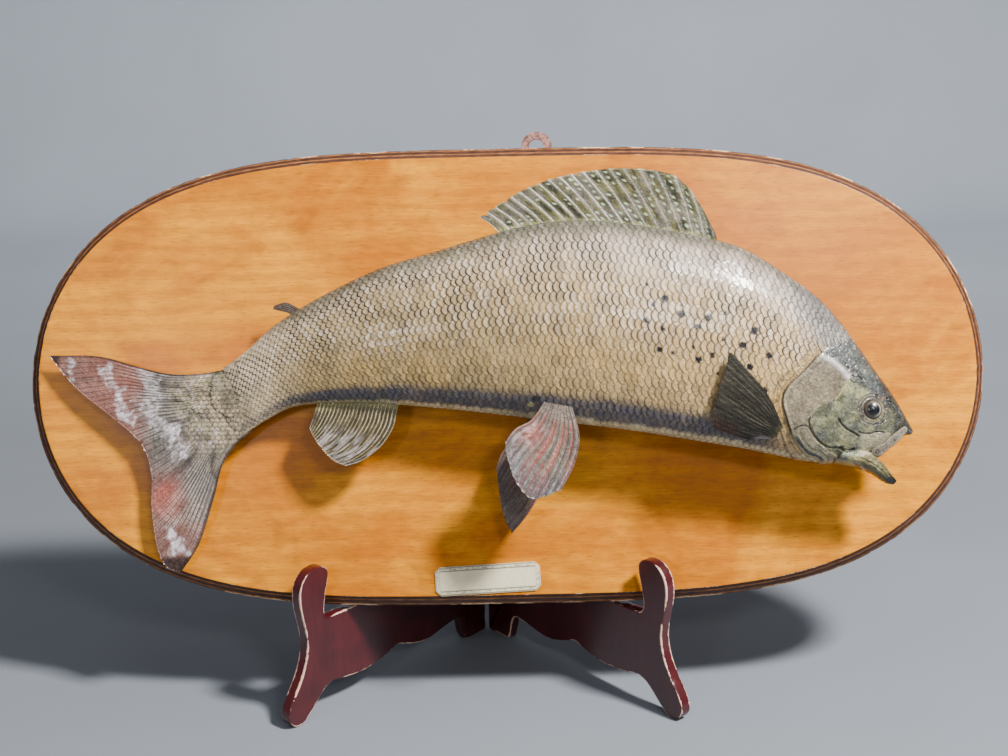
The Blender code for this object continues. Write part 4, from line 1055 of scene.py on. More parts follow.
def body_tint(places, distance, turn):
    """The colour of the flank's skin and scales, from the back to the belly."""
    u, v = places[..., 0] / MM, places[..., 1] / MM
    flat = places[..., :2]
    down = (1 - np.cos(turn)) / 2
    rear = step(distance, 0.10, 0.30)
    tint = blend(FLANK_FRONT, FLANK_REAR, rear)
    # Painted sheen: the upper front flank is painted a paler lilac.
    tint = blend(tint, PAINTED_SHOULDER_SHEEN, 0.75 * (1 - step(down, 0.10, 0.36)) * (1 - 0.7 * rear))
    gold = step(rough(flat, 0.020, 41), 0.0, 0.6) * step(down, 0.45, 0.8)
    tint = blend(tint, FLANK_GOLD, 0.45 * gold * (1 - 0.5 * rear))
    tint = blend(tint, tint * 0.72, 0.7 * step(rough(flat, 0.030, 42), 0.05, 0.7) * rear)
    ragged = 0.012 * rough(flat, 0.004, 43)
    tint = blend(tint, BACK, 0.92 * (1 - step(down + ragged, 0.015, 0.10 + 0.08 * rear)))
    stem = step(distance, 0.345, 0.39)
    tint = blend(tint, TAIL_STEM, 0.85 * stem)
    tint = blend(tint, tint * 0.70, 0.8 * step(rough(flat, 0.009, 44), 0.1, 0.7) * (0.35 + 0.65 * rear))
    tint = blend(tint, tint * 1.25, 0.7 * step(rough(flat, 0.006, 46), 0.2, 0.8))
    edge = down + ragged
    band = step(edge, 0.840, 0.905) * (1 - step(edge, 0.962, 0.982))
    band = band * (1 - step(u, 138.0, 156.0)) * (0.55 + 0.45 * (1 - stem))
    low = step(edge, 0.955, 0.980) * (1 - 0.6 * step(-u, 40.0, 80.0))
    tint = blend(tint, BELLY, low)
    tint = blend(tint, BAND, band * (0.82 + 0.16 * rough(flat, 0.0022, 45)))
    behind, share = nearness(NECK, places[..., 0], places[..., 1])
    behind = behind / MM + 0.5 * noise(flat, 0.005, 38)
    strip = step(share, COVER_SHARE - 0.02, COVER_SHARE + 0.02)
    near = strip * (1 - step(behind, 4.0, 6.0))
    tint = blend(tint, tint * 0.6, 0.6 * near * step(rough(flat, 0.002, 39), -0.1, 0.4))
    # Painted shade in the grooves of the girdle's wrinkles.
    tint = blend(tint, CRACK_AND_SHADE, 0.55 * near * wrinkles(flat, 0.0028, 37, 0.16))
    tint = blend(tint, CRACK_AND_SHADE, 0.75 * strip * (bell(behind - 5.0, 0.45) + 0.7 * bell(behind - 1.7, 0.35)))
    above = step(v + 0.45 * (u - 172.0), 6.0, 14.0) * step(u + 0.3 * (v - 12.0), 156.0, 178.0)
    tint = blend(tint, NAPE * 1.5, 0.80 * above)
    tint = blend(tint, CRACK_AND_SHADE, 0.6 * above * wrinkles(flat, 0.0036, 50, 0.12))
    tint = blend(tint, CRACK_AND_SHADE, 0.85 * cracked(u, v))
    for mark_u, mark_v, radius, colour in VENT_MARKS:
        away = np.hypot(u - mark_u, (v - mark_v) * 1.4) + 0.5 * noise(flat, 0.0016, 47)
        tint = blend(tint, colour, 0.9 * (1 - step(away, radius * 0.6, radius * 1.2)))
    return spotted(tint, places)


def flank_spots():
    """The place (u, v) and radius of each dark spot, scattered about slanting rows."""
    chance = np.random.default_rng(SPOT_SEED)
    line = np.array(SPOT_LINE)
    share = (np.arange(SPOTS_IN_ROW)[None, :] + 0.5 * (np.arange(SPOT_ROWS) % 2)[:, None]) / SPOTS_IN_ROW
    middle = line[0] + share[..., None] * (line[1] - line[0])
    middle[..., 1] += ((SPOT_ROWS - 1) / 2 - np.arange(SPOT_ROWS))[:, None] * SPOT_ROW_GAP
    middle = middle + SPOT_WANDER * (2 * chance.random(middle.shape) - 1)
    radii = SPOT_RADII[0] + (SPOT_RADII[1] - SPOT_RADII[0]) * chance.random(share.shape) ** 1.4
    return np.concatenate([middle, radii[..., None]], axis=-1).reshape(-1, 3)


def spotted(tint, places):
    """The flank's near-black spots, laid over a tint."""
    flat = places[..., :2]
    u, v = flat[..., 0] / MM, flat[..., 1] / MM
    for spot_u, spot_v, radius in FLANK_SPOTS:
        away = np.hypot(u - spot_u, v - spot_v) + 0.42 * noise(flat, 0.0014, int(spot_u))
        tint = blend(tint, SPOT, 0.96 * (1 - step(away, radius * 0.95, radius * 1.25)))
    return tint


def cracked(u, v):
    """Dark cracks where the tail stem's skin has shrunk and split."""
    place = np.stack([u, v], axis=-1) * MM
    near = bell(np.hypot(u + 163.0, (v + 8.0) * 0.8), 21.0)
    wander = noise(place, 0.0030, 64) * 0.0007
    split = np.zeros(np.shape(u))
    for line in TAIL_CRACKS:
        distance, share = nearness(smooth_line(line), place[..., 0] + wander, place[..., 1] - wander)
        split = np.maximum(split, bell(distance / MM, TAIL_CRACK_WIDTH) * (1 - step(share, 0.9, 1.0)))
    return np.maximum(split, 0.8 * step(near, 0.25, 0.7) * wrinkles(place, 0.0070, 48, 0.035))


def head_tint(places):
    """The colour of the head's bare skin."""
    u, v = places[..., 0], places[..., 1]
    flat = places[..., :2]
    marks = head_marks(u, v)
    u, v = u / MM, v / MM
    grain = rough(flat, 0.0022, 51)
    mottle = step(rough(flat, 0.0040, 52), -0.35, 0.45)
    tint = blend(HEAD_GREEN, CHEEK, mottle)
    tint = blend(tint, NAPE, 0.6 * step(rough(flat, 0.0065, 57), 0.0, 0.4))
    tint = blend(tint, tint * 0.66, 0.8 * step(rough(flat, 0.0050, 68), 0.05, 0.5))
    tint = blend(tint, NAPE, 0.85 * crown_of(u, v))
    border = (1 - step(marks["neck"], 0.0, 6.0)) * (1 - marks["on_cover_edge"])
    tint = blend(tint, NAPE * 1.5, 0.80 * border * step(v, 4.0, 10.0))
    # The ring round the eye: its own brownish grey, darkened further as painted shade.
    tint = blend(tint, ORBIT, 0.85 * (1 - step(marks["eye"], 7.0, 10.5)))
    rings = 0.5 + 0.5 * np.cos(FULL_TURN * (marks["eye"] - 5.4) / 1.35 + 1.2 * noise(flat, 0.003, 58))
    fading = 1 - step(marks["eye"], 8.0, 10.5)
    tint = blend(tint, tint * 0.5, 0.55 * (1 - rings) * fading * (0.5 + mottle / 2))
    tint = blend(tint, tint * 0.55, 0.7 * step(grain, 0.0, 0.5))
    tint = blend(tint, tint * 1.7, 0.7 * step(rough(flat, 0.0017, 59), 0.15, 0.6))
    folds = folded(u * MM, v * MM)
    broken = step(rough(flat, 0.006, 63), -0.5, 0.3)
    # Painted shade in the grooves of the head's folds and fine wrinkles.
    tint = blend(tint, CRACK_AND_SHADE, 0.65 * folds * broken * wrinkles(flat, 0.0044, 31, 0.09))
    tint = blend(tint, CRACK_AND_SHADE, 0.35 * wrinkles(flat, 0.0021, 33, 0.13))
    # Painted glints: pale flecks, most on the folded nape and crown.
    tint = blend(tint, BONE_AND_GLINT, 0.34 * (0.3 + 0.7 * folds) * step(rough(flat, 0.0015, 60), 0.30, 0.7))
    lower_right = bell(marks["eye"] - 6.0, 0.8) * step((u - EYE_PLACE[0]) - (v - EYE_PLACE[1]), -2.0, 4.0)
    tint = blend(tint, YELLOW, 0.40 * lower_right)
    cream = step(u, 191.0, 195.0) * (1 - step(v, -36.6, -34.4)) * (1 - step(u, 209.0, 213.0))
    tint = blend(tint, LIP_CREAM * (1.0 + 0.35 * grain)[..., None], 0.85 * cream)
    tint = blend(tint, SNOUT, step(u + 0.35 * v + 1.5 * grain, 197.0, 204.5) * 0.75)
    cover = blend(COVER, COVER_EDGE, 0.7 * bell(marks["neck"] - 1.5, 0.7))
    dark = 0.8 * bell(marks["neck"] - 0.4, 0.5) + 0.4 * bell(marks["neck"] - 2.9, 0.6)
    cover = blend(cover, cover * 0.55, dark)
    cover = blend(cover, cover * 0.66, 0.9 * step(rough(flat, 0.0013, 53), 0.0, 0.5))
    cover = blend(cover, cover * 1.35, 0.8 * step(rough(flat, 0.0011, 54), 0.15, 0.6))
    cover = blend(cover, HEAD_GREEN, 0.6 * step(rough(flat, 0.0080, 55), 0.0, 0.6) * step(-v, 20.0, 36.0))
    cover = blend(cover, cover * 0.62, 0.9 * step(v + 0.4 * (u - 172.0), -14.0, -3.0))
    cover = blend(cover, cover * 1.28, 0.8 * step(rough(flat, 0.0100, 65), -0.1, 0.5))
    cover = blend(cover, cover * 0.68, 0.8 * step(rough(flat, 0.0060, 66), 0.0, 0.5))
    cover = blend(cover, CRACK_AND_SHADE, 0.30 * wrinkles(flat, 0.0046, 67, 0.05))
    cover = blend(cover, CRACK_AND_SHADE, 0.55 * bell(marks["neck"] - 0.2, 0.35))
    tint = np.where(marks["cover"][..., None], cover, tint)
    tint = blend(tint, BONE_AND_GLINT, 0.85 * bell(marks["ridge"], 1.5) * (0.7 + 0.3 * mottle))
    tint = blend(tint, YELLOW, 0.75 * bell(marks["cover_line"], 0.55))
    stripes = 0.5 + 0.5 * gill_waves(marks["neck"])
    bands = blend(MEMBRANE, GILL_BAND, step(stripes + 0.2 * grain, 0.30, 0.55))
    tint = blend(tint, bands, 0.92 * marks["bands"])
    throat = step(-v, 49.5, 51.5) * (1 - step(u, 190.0, 196.0))
    tint = blend(tint, THROAT, 0.8 * throat)
    for depth, near in marks["cracks"]:
        tint = blend(tint, CRACK_AND_SHADE, 0.95 * step(depth, 0.0, 0.3) * bell(near, 1.0))
    # Painted shade in the slit just behind the gill cover's edge.
    slit = bell(marks["neck"], 0.6) * marks["on_cover_edge"] * ~marks["cover"]
    tint = blend(tint, CRACK_AND_SHADE, 0.85 * slit)
    # Painted shade in the nostril pits.
    for nostril in NOSTRILS:
        near = np.hypot(u - nostril[0], v - nostril[1])
        tint = blend(tint, CRACK_AND_SHADE, 0.95 * (1 - step(near, NOSTRIL_RADIUS * 0.8, NOSTRIL_RADIUS * 1.3)))
    for dot_u, dot_v, radius in SNOUT_DOTS:
        near = np.hypot(u - dot_u, v - dot_v)
        tint = blend(tint, ORANGE, 0.8 * (1 - step(near, radius * 0.6, radius * 1.2)))
    return tint


def jaw_tint(places):
    """The colour of the lower jaw and of the mouth's lining."""
    flat = places[..., :2]
    run, rise = jaw_run(places[..., 0], places[..., 1])
    grain = rough(flat, 0.0016, 62)
    tint = blend(JAW, MEMBRANE, step(rough(flat, 0.004, 61), 0.0, 0.6) * 0.5)
    tint = blend(tint, THROAT, 0.8 * (1 - step(run, 5.0, 11.0)))
    tint = blend(tint, tint * 0.6, 0.8 * step(grain, 0.0, 0.5))
    keel = rise + 5.2 - 0.05 * run
    tint = blend(tint, JAW_TIP, 0.85 * (1 - step(keel, 0.6, 2.0)) * step(run, 8.0, 13.0))
    tint = blend(tint, JAW_TIP, 0.7 * bell(rise + 1.2 + 0.06 * run, 0.45) * step(run, 3.0, 8.0))
    tint = blend(tint, JAW_TIP, 0.75 * bell(rise - 1.2 + 0.10 * run, 0.9) * step(run, 9.0, 14.0))
    tint = blend(tint, BONE_AND_GLINT, 0.60 * bell(rise - 0.2 + 0.10 * run, 0.35) * step(run, 9.0, 13.0))
    return blend(tint, JAW_TIP, 0.9 * step(run + 2.0 * grain - 0.5 * rise, 21.0, 27.0))


def skin_grid():
    """The body's surface with the head's relief on it."""
    body = FISH
    fine = np.linspace(0.0, SKIN_FINE_END, SKIN_FINE_RINGS)
    coarse = np.linspace(SKIN_COARSE_START, body.length, SKIN_COARSE_RINGS)
    distances = np.concatenate([fine, coarse])
    shares = np.linspace(0.0, 1.0, SKIN_COLUMNS, endpoint=False)
    turns = GIRTH.turn(distances[:, None] + 0 * shares, shares[None, :] + 0 * distances[:, None])
    thin = body.thinning(distances)[:, None]
    points = body.point(distances[:, None] + 0 * turns, turns, 0.0, thin)
    run = np.gradient(points, axis=0)
    round_ = np.roll(points, -1, axis=1) - np.roll(points, 1, axis=1)
    away = np.cross(run, round_)
    away /= np.maximum(np.linalg.norm(away, axis=-1), 1e-12)[..., None]
    middle = points.mean(axis=1, keepdims=True)
    away *= np.sign(((points - middle) * away).sum())
    out = relief(points[..., 0], points[..., 1])
    points = points + away * out[..., None]
    points[..., 2] = np.maximum(points[..., 2], GAP)
    return closed_tube(points)


def closed_tube(points):
    """A tube of rings, with a point closing each end."""
    rows, columns, _ = points.shape
    flat = points.reshape(-1, 3)
    first, last = len(flat), len(flat) + 1
    flat = np.vstack([flat, points[0].mean(axis=0), points[-1].mean(axis=0)])
    faces = quads(rows, columns, closed=True).tolist()
    ring = np.arange(columns)
    tail = ring + (rows - 1) * columns
    faces += np.column_stack([np.roll(ring, -1), ring, np.full(columns, first)]).tolist()
    faces += np.column_stack([tail, np.roll(tail, -1), np.full(columns, last)]).tolist()
    return flat, faces


def plain_tube(cuts, rows, columns):
    """The closed surface of a body with nothing on it."""
    loft = Loft(cuts)
    turns = np.linspace(0.0, FULL_TURN, columns, endpoint=False)
    distances = np.linspace(0.0, loft.length, rows)[:, None] + 0 * turns
    return closed_tube(loft.point(distances, turns[None, :] + 0 * distances))


def jaw_run(u, v):
    """How far along the lower jaw and how far up from its keel a place lies, in millimetres."""
    u, v = u / MM - JAW_HINGE[0], v / MM - JAW_HINGE[1]
    ahead, down = JAW_AHEAD
    return u * ahead - v * down, u * down + v * ahead


def jaw_grid():
    """The lower jaw, with a raised lip along its upper edge and grooves along its side."""
    loft = Loft(JAW_SHAPE)
    rows, columns = JAW_GRID
    turns = np.linspace(0.0, FULL_TURN, columns, endpoint=False)
    distances = np.linspace(0.0, loft.length, rows)[:, None] + 0 * turns
    turns = turns[None, :] + 0 * distances
    points = loft.point(distances, turns)
    run, _ = jaw_run(points[..., 0], points[..., 1])
    down = (1 - np.cos(turns)) / 2
    groove = bell(down - 0.30, 0.045) + 0.7 * bell(down - 0.55, 0.04) + 0.5 * bell(down - 0.78, 0.04)
    folds = wrinkles(points[..., :2] * (0.5, 1.0), 0.0022, 35, 0.16)
    out = -0.55 * groove * step(run, 3.0, 9.0) - 0.3 * folds + 0.35 * bell(down - 0.17, 0.06)
    middle = points.mean(axis=1, keepdims=True)
    away = points - middle
    away /= np.maximum(np.linalg.norm(away, axis=-1), 1e-9)[..., None]
    return closed_tube(points + away * (out * MM)[..., None])


def solid(name, points, faces):
    """A closed mesh object with its faces turned outwards, for joining with others."""
    mesh = bpy.data.meshes.new(name)
    mesh.from_pydata(points.tolist(), [], faces)
    bm = bmesh.new()
    bm.from_mesh(mesh)
    bmesh.ops.recalc_face_normals(bm, faces=bm.faces)
    bm.to_mesh(mesh)
    bm.free()
    made = bpy.data.objects.new(name, mesh)
    bpy.context.scene.collection.objects.link(made)
    return made


def joined(base, tool, operation):
    """The mesh that comes from joining a tool to a base, or cutting it out."""
    modifier = base.modifiers.new(operation, "BOOLEAN")
    modifier.operation = operation
    modifier.solver = "MANIFOLD"
    modifier.object = tool
    bpy.context.view_layer.update()
    graph = bpy.context.evaluated_depsgraph_get()
    mesh = bpy.data.meshes.new_from_object(base.evaluated_get(graph))
    base.modifiers.clear()
    base.data = mesh
    bpy.data.objects.remove(tool)


def make_skin():
    """One skin for the head, gill covers, jaw, trunk and tail stem, with the mouth hollowed out."""
    skin = solid("skin_form", *skin_grid())
    joined(skin, solid("jaw_form", *jaw_grid()), "UNION")
    joined(skin, solid("mouth_form", *plain_tube(MOUTH_CUTS, *MOUTH_GRID)), "DIFFERENCE")
    mesh = skin.data
    bpy.data.objects.remove(skin)
    places = places_of(mesh)
    distance, turn = FISH.locate(places[:, 0], places[:, 1])
    head = inside(HEAD_AREA, places[:, 0], places[:, 1])
    tint = np.where(head[:, None], head_tint(places), body_tint(places, distance, turn))
    in_jaw = head & below_gape(places)
    tint = np.where(in_jaw[:, None], jaw_tint(places), tint)
    lining = MOUTH * (1.0 + 0.2 * noise(places, 0.002, 71))[:, None]
    tint = np.where((in_mouth(places) & head)[:, None], lining, tint)
    mesh.transform(BOARD_FRAME)
    piece = finish_piece("fish_skin", mesh, SKIN, {"tint": tint}, placed=False)
    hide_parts("head", "gill_cover_right", "gill_cover_left", "lower_jaw", "trunk_front",
                "trunk_rear", "tail_stem")


def below_gape(places):
    """Which places lie below the line from the jaw's hinge to the front of the mouth."""
    u, v = places[:, 0] / MM, places[:, 1] / MM
    return v < np.interp(u, *GAPE_LINE)


def in_mouth(places):
    """Which places are on the wall of the mouth's hollow."""
    hollow = Loft(MOUTH_CUTS)
    deep, turn = hollow.locate(places[:, 0], places[:, 1])
    wall = hollow.at(deep)
    reach = wall[:, 5] * np.abs(np.sin(turn)) ** BODY_FULLNESS + 0.0002
    within = np.abs(places[:, 2] - wall[:, 4]) < reach
    within &= (deep > 0.0) & (deep < hollow.length * 0.98)
    return within & (turn > 0.02) & (turn < math.pi - 0.02)


def scale_roots():
    """The place along and round the body of every scale's middle, with its pitch."""
    distances, shares, pitches = [], [], []
    distance, column = SCALE_START, 0
    while distance < FISH.length - 0.0010:
        pitch = np.interp(distance, *SCALE_PITCH) * MM
        rows = np.arange(column % 2, SCALE_ROWS, 2)
        distances.append(np.full(len(rows), distance))
        shares.append(rows / SCALE_ROWS)
        pitches.append(np.full(len(rows), pitch))
        distance += pitch / 2
        column += 1
    return np.concatenate(distances), np.concatenate(shares), np.concatenate(pitches)


def make_scales():
    """Overlapping scales over the whole body behind the head, in a few joined meshes."""
    chance = np.random.default_rng(COAT_SEED)
    distance, share, pitch = scale_roots()
    middle = FISH.point(distance, GIRTH.turn(distance, share))
    bare = inside(HEAD_AREA, middle[:, 0] + 0.0002, middle[:, 1]) | (middle[:, 2] < 0.0009)
    bare |= girdle(middle[:, 0] - 0.0022, middle[:, 1]) > 0.5
    distance, share, pitch = distance[~bare], share[~bare], pitch[~bare]
    count = len(distance)
    q = np.linspace(-1.0, 1.0, SCALE_ACROSS)
    t = np.array([*SCALE_ALONG, 1.0])
    rear, front = (1 - q**2), SCALE_ROOT * (1 - 0.3 * q**2)
    run = front[None, :] + t[:, None] * (rear - front)[None, :]
    run[-1] += SCALE_BEND
    side = q[None, :] * (0.84 + 0.16 * t[:, None]) * SCALE_HALF_WIDTH
    rise = SCALE_RISE[0] + (SCALE_RISE[1] - SCALE_RISE[0]) * t[:, None] ** 1.05 + 0 * q
    rise = rise + SCALE_DOME * (0.4 - q[None, :] ** 2) * t[:, None]
    wobble = 1 + 0.05 * chance.standard_normal((count, 1, 1))
    skew = 0.06 * chance.standard_normal((count, 1, 1))
    lift = 1 + 0.13 * chance.standard_normal((count, 1, 1))
    roll = 0.06 * chance.standard_normal((count, 1, 1))
    crinkled = np.stack([run * 2.2, side * 3.0], axis=-1) + 9.0 * chance.random((count, 1, 1, 1))
    crinkle = 0.05 * noise(crinkled, 1.0, 8)
    run = run[None] * wobble + side[None] * skew
    fine = (pitch / max(SCALE_PITCH[1]) / MM)[:, None, None]
    s = distance[:, None, None] + run * pitch[:, None, None]
    around = share[:, None, None] + side[None] * wobble / SCALE_ROWS
    rise = rise[None] * lift + roll * side[None] * t[:, None] + crinkle
    rise[:, -1] -= SCALE_SKIRT
    grow = (np.clip(rise, None, COAT_DEPTH - 0.03) * fine - COAT_DEPTH) * MM
    s = np.minimum(s, FISH.length)
    turn = GIRTH.turn(s, around)
    points = FISH.point(s, turn, grow, FISH.thinning(s))
    tint = scale_tint(points, s, turn, chance)
    per_row, per_column = len(t), len(q)
    patch = np.stack([s * 0 + run / 2.4, side[None] + 0 * run], axis=-1) * BAKE_PATCH / 2
    unwrap = patch + np.stack([distance / FISH.length, share % 1.0], axis=-1)[:, None, None, :]
    unwrap = np.clip(unwrap, 0.0, 1.0)
    for number, chosen in enumerate(np.array_split(np.arange(count), COAT_PIECES)):
        starts = np.arange(len(chosen)) * per_row * per_column
        faces = (quads(per_row, per_column)[None] + starts[:, None, None]).reshape(-1, 4)
        piece = build(f"scales_{number + 1}", points[chosen], faces, SCALES,
                      {"tint": tint[chosen].reshape(-1, 3)})
        layer = piece.data.uv_layers.new(name="OFBake")
        layer.data.foreach_set("uv", unwrap[chosen].reshape(-1, 2)[faces.ravel()].astype(np.float32).ravel())


def scale_tint(points, s, turn, chance):
    """Each scale takes the flank's colour, with its own tone, painted shade over its covered front, a dark
    rim that is partly painted shade under its free edge, and a painted highlight just inside the rim.
    """
    tint = body_tint(points, s, turn)
    count = len(points)
    tone = 1 + 0.11 * chance.standard_normal((count, 1, 1, 1))
    tint = tint * np.clip(tone, 0.7, 1.35)
    down = (1 - np.cos(turn)) / 2
    faint = 1 - 0.65 * (1 - step(down, 0.03, 0.14))
    edge = np.array(SCALE_RIM)[None, :, None] * faint
    highlight = np.array(SCALE_HIGHLIGHT)[None, :, None]
    bright = chance.random((count, 1, 1)) ** 2
    high = 1 - step(down, 0.40, 0.70)
    # Painted shade over each scale's front, where the scale ahead of it overlaps.
    tint = blend(tint, tint * 0.72, np.array(SCALE_SHADE)[None, :, None] * np.ones_like(down))
    # Painted highlight: a bright line inside each free edge, strongest on the upper flank.
    tint = blend(tint, GLINT, highlight * (0.20 + 0.80 * bright) * (0.15 + 0.85 * high) * faint)
    # The dark rim, in patches: partly the edge's own colour, partly painted shade under the free edge.
    patchy = 0.55 + 0.45 * step(noise(points[..., :2], 0.009, 49), -0.5, 0.4)
    tint = blend(tint, OUTLINE, 0.97 * edge * patchy * (0.55 + 0.45 * high))
    return spotted(tint, points)


def make_eyes():
    """Glass eyes: a dark pupil, a narrow iris and a pale crescent on its front."""
    for side, far, sign in (("right", False, 1), ("left", True, -1)):
        u0, v0 = EYE_PLACE[0] * MM, EYE_PLACE[1] * MM
        base = float(FISH.flank(np.array([u0]), np.array([v0]), far)[0]) - sign * EYE_SINK
        rings, columns = EYE_GRID
        angle = np.linspace(0.0, EYE_REACH, rings)[:, None]
        turn = np.linspace(0.0, FULL_TURN, columns, endpoint=False)[None, :]
        radius = (EYE_RADIUS - EYE_CLEARANCE) * np.sin(angle) + 0 * turn
        height = (EYE_DEPTH - EYE_CLEARANCE) * np.cos(angle) + 0 * turn
        x, y = radius * np.cos(turn), radius * np.sin(turn)
        points = np.stack([u0 + x, v0 + y, base + sign * height], axis=-1)
        away = radius / MM
        wander = 0.12 * noise(points[..., :2], 0.0016, 75)
        point_front = 0.45 * np.clip(np.cos(turn - math.radians(-20)), 0, 1) ** 6
        iris = step(away - point_front + wander, PUPIL_RADIUS - 0.25, PUPIL_RADIUS + 0.25)
        tint = blend(EYE_DARK, IRIS, iris)
        crescent = bell(away - 3.95 + wander, 0.30) * np.clip(np.cos(turn - math.radians(10)), 0, 1) ** 0.6
        tint = blend(tint, PALE_RING, 0.80 * crescent)
        faces = quads(rings, columns, closed=True)
        if sign < 0:
            faces = faces[:, ::-1]
        eye = build("eye_glass_" + side, points, faces, EYE, {"tint": tint.reshape(-1, 3)})
        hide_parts("eye_" + side)


def make_maxillae():
    """A rounded strap of bone along each side of the upper jaw, with a disc at its rear end."""
    line = smooth_line(MAXILLA_LINE, 14)
    lengths = np.linspace(0.0, 1.0, 64)
    spine = along(line, lengths)
    run = np.gradient(spine, axis=0)
    run /= np.linalg.norm(run, axis=1)[:, None]
    half = np.interp(lengths, np.linspace(0, 1, 4), MAXILLA_HALF_WIDTHS) * MM
    total = np.linalg.norm(np.diff(spine, axis=0), axis=1).sum()
    left = (1 - lengths) * total
    disc = MAXILLA_HALF_WIDTHS[-1] * MM
    half = half * (1 - 0.20 * bell((left - 2.1 * disc) / disc, 0.6))
    nose = np.clip(lengths * total / (half[0] * 1.2), 0.0, 1.0)
    half = half * np.sqrt(1 - (1 - nose) ** 2)
    past = np.linspace(0.0, 1.0, 12)[1:]
    spine = np.vstack([spine, spine[-1] + run[-1] * (past * disc)[:, None]])
    run = np.vstack([run, np.tile(run[-1], (len(past), 1))])
    half = np.concatenate([half, disc * np.sqrt(np.clip(1 - past**2, 0.0, 1.0))])
    side = np.stack([-run[:, 1], run[:, 0]], axis=-1)
    across = np.linspace(-1.0, 1.0, 15)
    flat = spine[:, None, :] + side[:, None, :] * (half[:, None] * across[None, :])[..., None]
    end = spine[len(lengths) - 1]
    for name, sign in (("right", 1), ("left", -1)):
        centre = FISH.flank(spine[:, 0] - 0.0026, spine[:, 1] + 0.0006, sign < 0)[:, None]
        base = centre + 0 * across
        from_end = np.hypot(flat[..., 0] - end[0], flat[..., 1] - end[1]) / MM
        dome = np.sqrt(np.clip(1 - (np.abs(across) ** 4)[None, :], 0.0, 1.0)) * (half > 0)[:, None]
        dent = 0.22 * bell(from_end - 0.9, 0.45) + 0.12 * bell(across[None, :] - 0.35, 0.2) * (from_end > 2.6)
        grain = 0.05 * rough(flat, 0.0012, 81)
        top = base + sign * (MAXILLA_PROUD - 0.0007 * (1 - dome) - (dent - grain) * MM)
        low = base - sign * (MAXILLA_DEPTH - MAXILLA_PROUD)
        points = np.concatenate([np.concatenate([flat, top[..., None]], axis=-1),
                                 np.concatenate([flat, low[..., None]], axis=-1)[:, ::-1]], axis=1)
        tint = blend(STRAP, STRAP * 0.55, step(rough(flat, 0.0016, 82), 0.0, 0.5))
        tint = blend(tint, STRAP_EDGE, 0.6 * step(rough(flat, 0.0013, 83), 0.2, 0.6))
        tint = blend(tint, STRAP_EDGE, 0.6 * bell(np.abs(across)[None, :] - 0.8, 0.16) + 0 * from_end)
        tint = blend(tint, CRACK_AND_SHADE, 0.75 * bell(from_end - 0.75, 0.28) + 0.6 * (np.abs(across)[None, :] > 0.97))
        # Painted shade: the strap's underside and the lower part of its sides are a darker copy of its top.
        both = np.concatenate([tint, tint[:, ::-1] * 0.4], axis=1)
        rows, columns = points.shape[:2]
        faces = quads(rows, columns, closed=True)
        faces = (faces if sign > 0 else faces[:, ::-1]).tolist()
        faces.append(list(range(columns))[:: sign])
        piece = build("maxilla_bone_" + name, points, faces, BONY, {"tint": both.reshape(-1, 3)})
        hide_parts("maxilla_" + name)


def lift_of(name):
    """The height of a fin's middle surface above the board, from its place and its share along the ray."""
    if name in ("dorsal_fin", "adipose_fin", "anal_fin"):
        spread = ANAL_SPREAD if name == "anal_fin" else 0.0
        return lambda u, v, out: FISH.at(FISH.locate(u, v)[0])[..., 4] + spread * out
    if name == "caudal_fin":
        root_u, root_v = (value * MM for value in TAIL_FIN_ROOT)
        height = FISH.at(np.array(FISH.length))[4]
        return lambda u, v, out: height - TAIL_FIN_DROP * np.minimum(
            np.hypot(u - root_u, v - root_v), TAIL_FIN_DROP_REACH)
    if name == "pelvic_fin_right":
        return lambda u, v, out: PELVIC_RIGHT_HEIGHT + PELVIC_RIGHT_SPREAD * out
    if name == "pelvic_fin_left":
        return lambda u, v, out: PELVIC_LEFT_HEIGHT + PELVIC_LEFT_SPREAD * out
    if name == "pectoral_fin_right":
        return lambda u, v, out: FISH.flank(u, v) + PECTORAL_CLEARANCE + PECTORAL_RIGHT_SPREAD * out
    return lambda u, v, out: np.maximum(
        FISH.flank(u, v, True) - PECTORAL_CLEARANCE - PECTORAL_LEFT_SPREAD * out, LEAST_HEIGHT)


